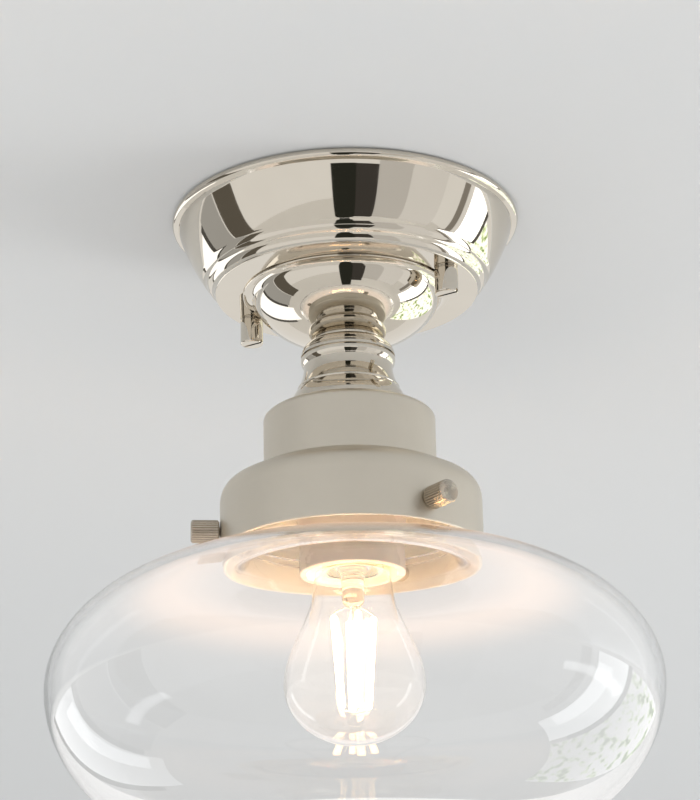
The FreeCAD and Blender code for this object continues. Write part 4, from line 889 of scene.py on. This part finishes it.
def make_glass_shade():
    """Blown shade: rim that the screws hold, short neck, wide belly and a flat base."""
    base_z = BELLY_CENTRE[1] - BELLY_DROP
    inner_base_z = base_z + GLASS_WALL
    upper, lower = (BELLY_REACH, BELLY_RISE), (BELLY_REACH, BELLY_DROP)
    inner_upper, inner_lower = ([semi - GLASS_WALL for semi in semis] for semis in (upper, lower))
    profile = Profile(NECK_OUTER_R, RIM_FOOT_Z)
    profile.line((NECK_OUTER_R, NECK_FOOT_Z))
    profile.bend(*NECK_BEND)
    profile.ellipse(BELLY_CENTRE, upper, BELLY_SHOULDER_ANGLE, SIDE)
    profile.ellipse(BELLY_CENTRE, lower, SIDE, BOTTOM)
    profile.line((0, base_z), (0, inner_base_z), (BELLY_CENTRE[0], inner_base_z))
    profile.ellipse(BELLY_CENTRE, inner_lower, BOTTOM, SIDE)
    profile.ellipse(BELLY_CENTRE, inner_upper, SIDE, BELLY_SHOULDER_ANGLE)
    profile.bend(*NECK_INNER_BEND)
    profile.line((NECK_INNER_R, RIM_TOP_Z - RIM_ROUND))
    profile.round_corner((NECK_INNER_R, RIM_TOP_Z), (NECK_INNER_R + RIM_ROUND, RIM_TOP_Z))
    profile.line((RIM_R - RIM_ROUND, RIM_TOP_Z))
    profile.round_corner((RIM_R, RIM_TOP_Z), (RIM_R, RIM_TOP_Z - RIM_ROUND))
    profile.line((RIM_R, RIM_FOOT_Z + RIM_ROUND))
    profile.round_corner((RIM_R, RIM_FOOT_Z), (RIM_R - RIM_ROUND, RIM_FOOT_Z))
    piece = profile.turned("shade_glass", "shade", "shade_glass", "clear_glass", crease=GLASS_CREASE)
    piece.visible_shadow = False
    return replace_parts(piece, "glass_shade")


# ---------------------------------------------------------------- stage

CEILING_COLOUR = (0.603, 0.620, 0.636)
CEILING_HOLE_R = 0.0745
CEILING_R = 1.9
CEILING_Z = 0.0004
FLOOR_COLOUR = (0.84, 0.83, 0.81)
FLOOR_HOLE_R = 0.0005
FLOOR_R = 4.0
FLOOR_Z = -2.3
PLATE_STEPS = 96

CARD_STEP = 6
NEAR_FLOOR = -2.28
WALL_FOOT = -2.1
FRAME_FOOT = -1.9
FRAME_TOP = -0.05
CARD_DISTANCE = 2.2

# What reflections show of a room: name, left and right edge in degrees from the camera's side, positive to
# its right, foot, top, distance, colour and strength. Those named glass are seen through glass alone, and
# the others in reflections alone.
ROOM = [
    ("card_dark_middle", -8.5, 8.0, NEAR_FLOOR, -0.25, 1.35, (0.95, 1.0, 0.80), 0.030),
    ("card_dark_side", 8.0, 23.0, -1.60, -0.30, 1.36, (1.0, 0.92, 0.84), 0.060),
    ("card_wall_near", 23.0, 46.0, WALL_FOOT, -0.02, CARD_DISTANCE, (1.0, 0.985, 0.96), 0.66),
    ("card_wall_right", 46.0, 72.0, WALL_FOOT, -0.02, 2.3, (1.0, 0.99, 0.98), 0.86),
    ("card_frame_right", 86.0, 91.0, FRAME_FOOT, FRAME_TOP, CARD_DISTANCE, (1.0, 0.93, 0.84), 0.30),
    ("card_window", 95.0, 113.0, NEAR_FLOOR, -0.06, CARD_DISTANCE, (0.97, 0.99, 1.0), 3.2),
    ("card_mullion_right", 113.0, 116.0, FRAME_FOOT, FRAME_TOP, CARD_DISTANCE, (1.0, 0.96, 0.90), 0.12),
    ("card_dark_left", -96.0, -79.0, WALL_FOOT, -0.03, CARD_DISTANCE, (1.0, 0.90, 0.74), 0.135),
    ("card_grey_left", -117.0, -97.0, WALL_FOOT, -0.03, 2.3, (1.0, 1.0, 0.98), 0.46),
    ("card_mullion_left", -121.0, -117.0, FRAME_FOOT, FRAME_TOP, CARD_DISTANCE, (1.0, 0.96, 0.90), 0.10),
    ("card_glass_right", 97.0, 105.0, -1.90, -0.25, 2.15, (0.98, 0.99, 1.0), 2.4),
    ("card_glass_left", -132.0, -124.0, -1.90, -0.25, 2.15, (0.98, 0.99, 1.0), 2.2),
    ("card_window_left", -143.0, -121.0, NEAR_FLOOR, -0.08, CARD_DISTANCE, (0.98, 0.99, 1.0), 1.9),
    ("card_mullion_back", -146.0, -143.0, FRAME_FOOT, FRAME_TOP, CARD_DISTANCE, (1.0, 0.96, 0.90), 0.12),
]

GARDEN_EDGES = (116.0, 146.0)
GARDEN_TOP = -0.10
GARDEN_LEVEL = 1.9
GARDEN_COLOURS = [(0.0, (0.05, 0.10, 0.03)), (0.38, (0.20, 0.30, 0.10)), (0.44, (0.72, 0.84, 0.55)),
                  (0.50, WHITE), (1.0, WHITE)]

STRIP_ANGLES = (-7.0, 6.0)
STRIP_DISTANCES = (0.30, 1.40)
STRIP_Z = -2.27
STRIP_COLOUR = (0.95, 1.0, 0.95)
STRIP_LEVEL = 0.060


def stage_material(name, colour, rough, grain):
    """Matt paint with a slight grain."""
    material, tree, shader = new_material(name)
    shader.inputs["Base Color"].default_value = (*colour, 1)
    shader.inputs["Roughness"].default_value = rough
    shader.inputs["Specular IOR Level"].default_value = 0.1
    bump(tree, shader, noise(tree, grain, detail=4.0), strength=0.12, distance=0.0006)
    return material


def clear_from_behind(material):
    """Lets whatever looks at the back of a face see through it."""
    tree = material.node_tree
    clear = tree.nodes.new("ShaderNodeBsdfTransparent")
    mix = tree.nodes.new("ShaderNodeMixShader")
    facing = tree.nodes.new("ShaderNodeNewGeometry")
    tree.links.new(facing.outputs["Backfacing"], mix.inputs["Fac"])
    tree.links.new(node_of(tree, "BSDF_PRINCIPLED").outputs["BSDF"], mix.inputs[1])
    tree.links.new(clear.outputs["BSDF"], mix.inputs[2])
    tree.links.new(mix.outputs["Shader"], node_of(tree, "OUTPUT_MATERIAL").inputs["Surface"])


def glow_material(name, colour, strength):
    material = bpy.data.materials.new(name)
    material.use_nodes = True
    tree = material.node_tree
    tree.nodes.clear()
    output = tree.nodes.new("ShaderNodeOutputMaterial")
    light = tree.nodes.new("ShaderNodeEmission")
    light.inputs["Color"].default_value = (*colour, 1)
    light.inputs["Strength"].default_value = strength
    tree.links.new(light.outputs["Emission"], output.inputs["Surface"])
    return material


def garden_material():
    """Leaves and bright sky beyond a window, as patches of light."""
    material = glow_material("garden_light", WHITE, GARDEN_LEVEL)
    tree = material.node_tree
    patches = colour_ramp(tree, noise(tree, scale=7.0, detail=4.0), GARDEN_COLOURS)
    tree.links.new(patches, node_of(tree, "EMISSION").inputs["Color"])
    return material


def ring_plate(name, inner, outer, height, facing, material):
    """Flat ring round the axis, facing up for 1 and down for -1."""
    mesh = bmesh.new()
    inside, outside = [], []
    for i in range(PLATE_STEPS):
        angle = math.tau * i / PLATE_STEPS
        inside.append(mesh.verts.new((inner * math.cos(angle), inner * math.sin(angle), height)))
        outside.append(mesh.verts.new((outer * math.cos(angle), outer * math.sin(angle), height)))
    for i in range(PLATE_STEPS):
        j = (i + 1) % PLATE_STEPS
        corners = [inside[i], outside[i], outside[j], inside[j]]
        mesh.faces.new(corners if facing > 0 else corners[::-1])
    plate = mesh_object(mesh, name)
    plate.data.materials.append(material)


def beside_camera(degrees, distance):
    """A place at a distance from the axis and an angle from the camera's side, positive to its right."""
    angle = VIEW_AZIMUTH + math.radians(degrees)
    return distance * math.sin(angle), -distance * math.cos(angle)


def stage_card(mesh, name, material):
    """A panel that lights nothing and that only reflections, or only rays through glass, show."""
    panel = mesh_object(mesh, name)
    panel.data.materials.append(material)
    panel.visible_camera = False
    panel.visible_diffuse = False
    panel.visible_glossy = "glass" not in name
    panel.visible_transmission = "glass" in name
    panel.visible_shadow = False


def card(name, left, right, low, high, distance, material):
    """Upright panel, bent round the axis."""
    mesh = bmesh.new()
    steps = max(1, int(abs(right - left) / CARD_STEP))
    columns = []
    for i in range(steps + 1):
        x, y = beside_camera(left + (right - left) * i / steps, distance)
        columns.append((mesh.verts.new((x, y, low)), mesh.verts.new((x, y, high))))
    for a, b in zip(columns, columns[1:]):
        mesh.faces.new((a[0], b[0], b[1], a[1]))
    stage_card(mesh, name, material)


def floor_strip():
    """Dark strip on the floor towards the camera, which the cup and the stem reflect."""
    mesh = bmesh.new()
    left, right = STRIP_ANGLES
    near, far = STRIP_DISTANCES
    corners = []
    for degrees, distance in ((left, near), (right, near), (right, far), (left, far)):
        corners.append(mesh.verts.new((*beside_camera(degrees, distance), STRIP_Z)))
    mesh.faces.new(corners)
    stage_card(mesh, "strip", glow_material("strip", STRIP_COLOUR, STRIP_LEVEL))


def make_stage():
    ceiling = stage_material("ceiling_plaster", CEILING_COLOUR, rough=0.92, grain=60.0)
    clear_from_behind(ceiling)
    ring_plate("stage_ceiling", CEILING_HOLE_R, CEILING_R, CEILING_Z, -1, ceiling)
    floor = stage_material("floor_paint", FLOOR_COLOUR, rough=0.8, grain=12.0)
    ring_plate("stage_floor", FLOOR_HOLE_R, FLOOR_R, FLOOR_Z, 1, floor)
    for name, left, right, low, high, distance, colour, strength in ROOM:
        card(name, left, right, low, high, distance, glow_material(name, colour, strength))
    floor_strip()
    card("card_garden", *GARDEN_EDGES, NEAR_FLOOR, GARDEN_TOP, CARD_DISTANCE, garden_material())


# ---------------------------------------------------------------- light

WORLD_COLOUR = (1.0, 0.995, 0.985)
WORLD_LEVEL = 0.95
AIM_Z = -0.12
WARM_COLOUR = (1.0, 0.60, 0.33)
WARM_SIZE = 0.008
WARM_Z = -0.200
WARM_WATTS = 0.25
UPWARD_WATTS = 2.0
UPWARD_CONE = math.radians(84.0)
UPWARD_BLEND = 0.3


def make_world():
    world = bpy.data.worlds.new("studio")
    bpy.context.scene.world = world
    world.use_nodes = True
    tree = world.node_tree
    tree.nodes.clear()
    output = tree.nodes.new("ShaderNodeOutputWorld")
    sky = tree.nodes.new("ShaderNodeBackground")
    sky.inputs["Color"].default_value = (*WORLD_COLOUR, 1)
    sky.inputs["Strength"].default_value = WORLD_LEVEL
    tree.links.new(sky.outputs["Background"], output.inputs["Surface"])


def new_light(name, kind, place, watts, colour):
    """A light that isn't seen itself, neither straight nor reflected nor through glass."""
    data = bpy.data.lights.new(name, kind)
    data.energy = watts
    data.color = colour
    light = bpy.data.objects.new(name, data)
    bpy.context.scene.collection.objects.link(light)
    light.location = place
    light.visible_glossy = False
    light.visible_transmission = False
    light.visible_camera = False
    return light


def area_light(name, side, height, distance, size, watts, colour):
    """Soft light at an angle from the camera's side, aimed at the fitting."""
    place = Vector((*beside_camera(side, distance), height))
    light = new_light(name, "AREA", place, watts, colour)
    light.data.shape = "RECTANGLE"
    light.data.size, light.data.size_y = size
    light.rotation_mode = "QUATERNION"
    light.rotation_quaternion = (Vector((0, 0, AIM_Z)) - place).to_track_quat("-Z", "Y")


def warm_light(name, kind, watts):
    """Warm light of the lamp's own sticks on what stands round them."""
    light = new_light(name, kind, (0, 0, WARM_Z), watts, WARM_COLOUR)
    light.data.shadow_soft_size = WARM_SIZE
    return light


def make_lights():
    warm_light("lamp_light", "POINT", WARM_WATTS)
    upward = warm_light("lamp_light_up", "SPOT", UPWARD_WATTS)
    upward.rotation_euler = (math.pi, 0, 0)
    upward.data.spot_size = UPWARD_CONE
    upward.data.spot_blend = UPWARD_BLEND
    area_light("window_light", side=104, height=-0.80, distance=2.3, size=(1.0, 1.1), watts=26,
               colour=(1.0, 0.995, 0.98))
    area_light("room_light", side=-20, height=-1.9, distance=1.6, size=(2.2, 2.2), watts=18,
               colour=(1.0, 0.985, 0.96))


# ---------------------------------------------------------------- build

bpy.context.scene.view_settings.view_transform = "Standard"
make_camera()
paint_nodes()
make_canopy()
make_cup()
make_stem()
make_glass_shade()
make_cap_nut(-1)
make_cap_nut(1)
make_bulb()
make_filaments()
nodes["bulb_stem"].visible_shadow = False
make_stage()
make_world()
make_lights()
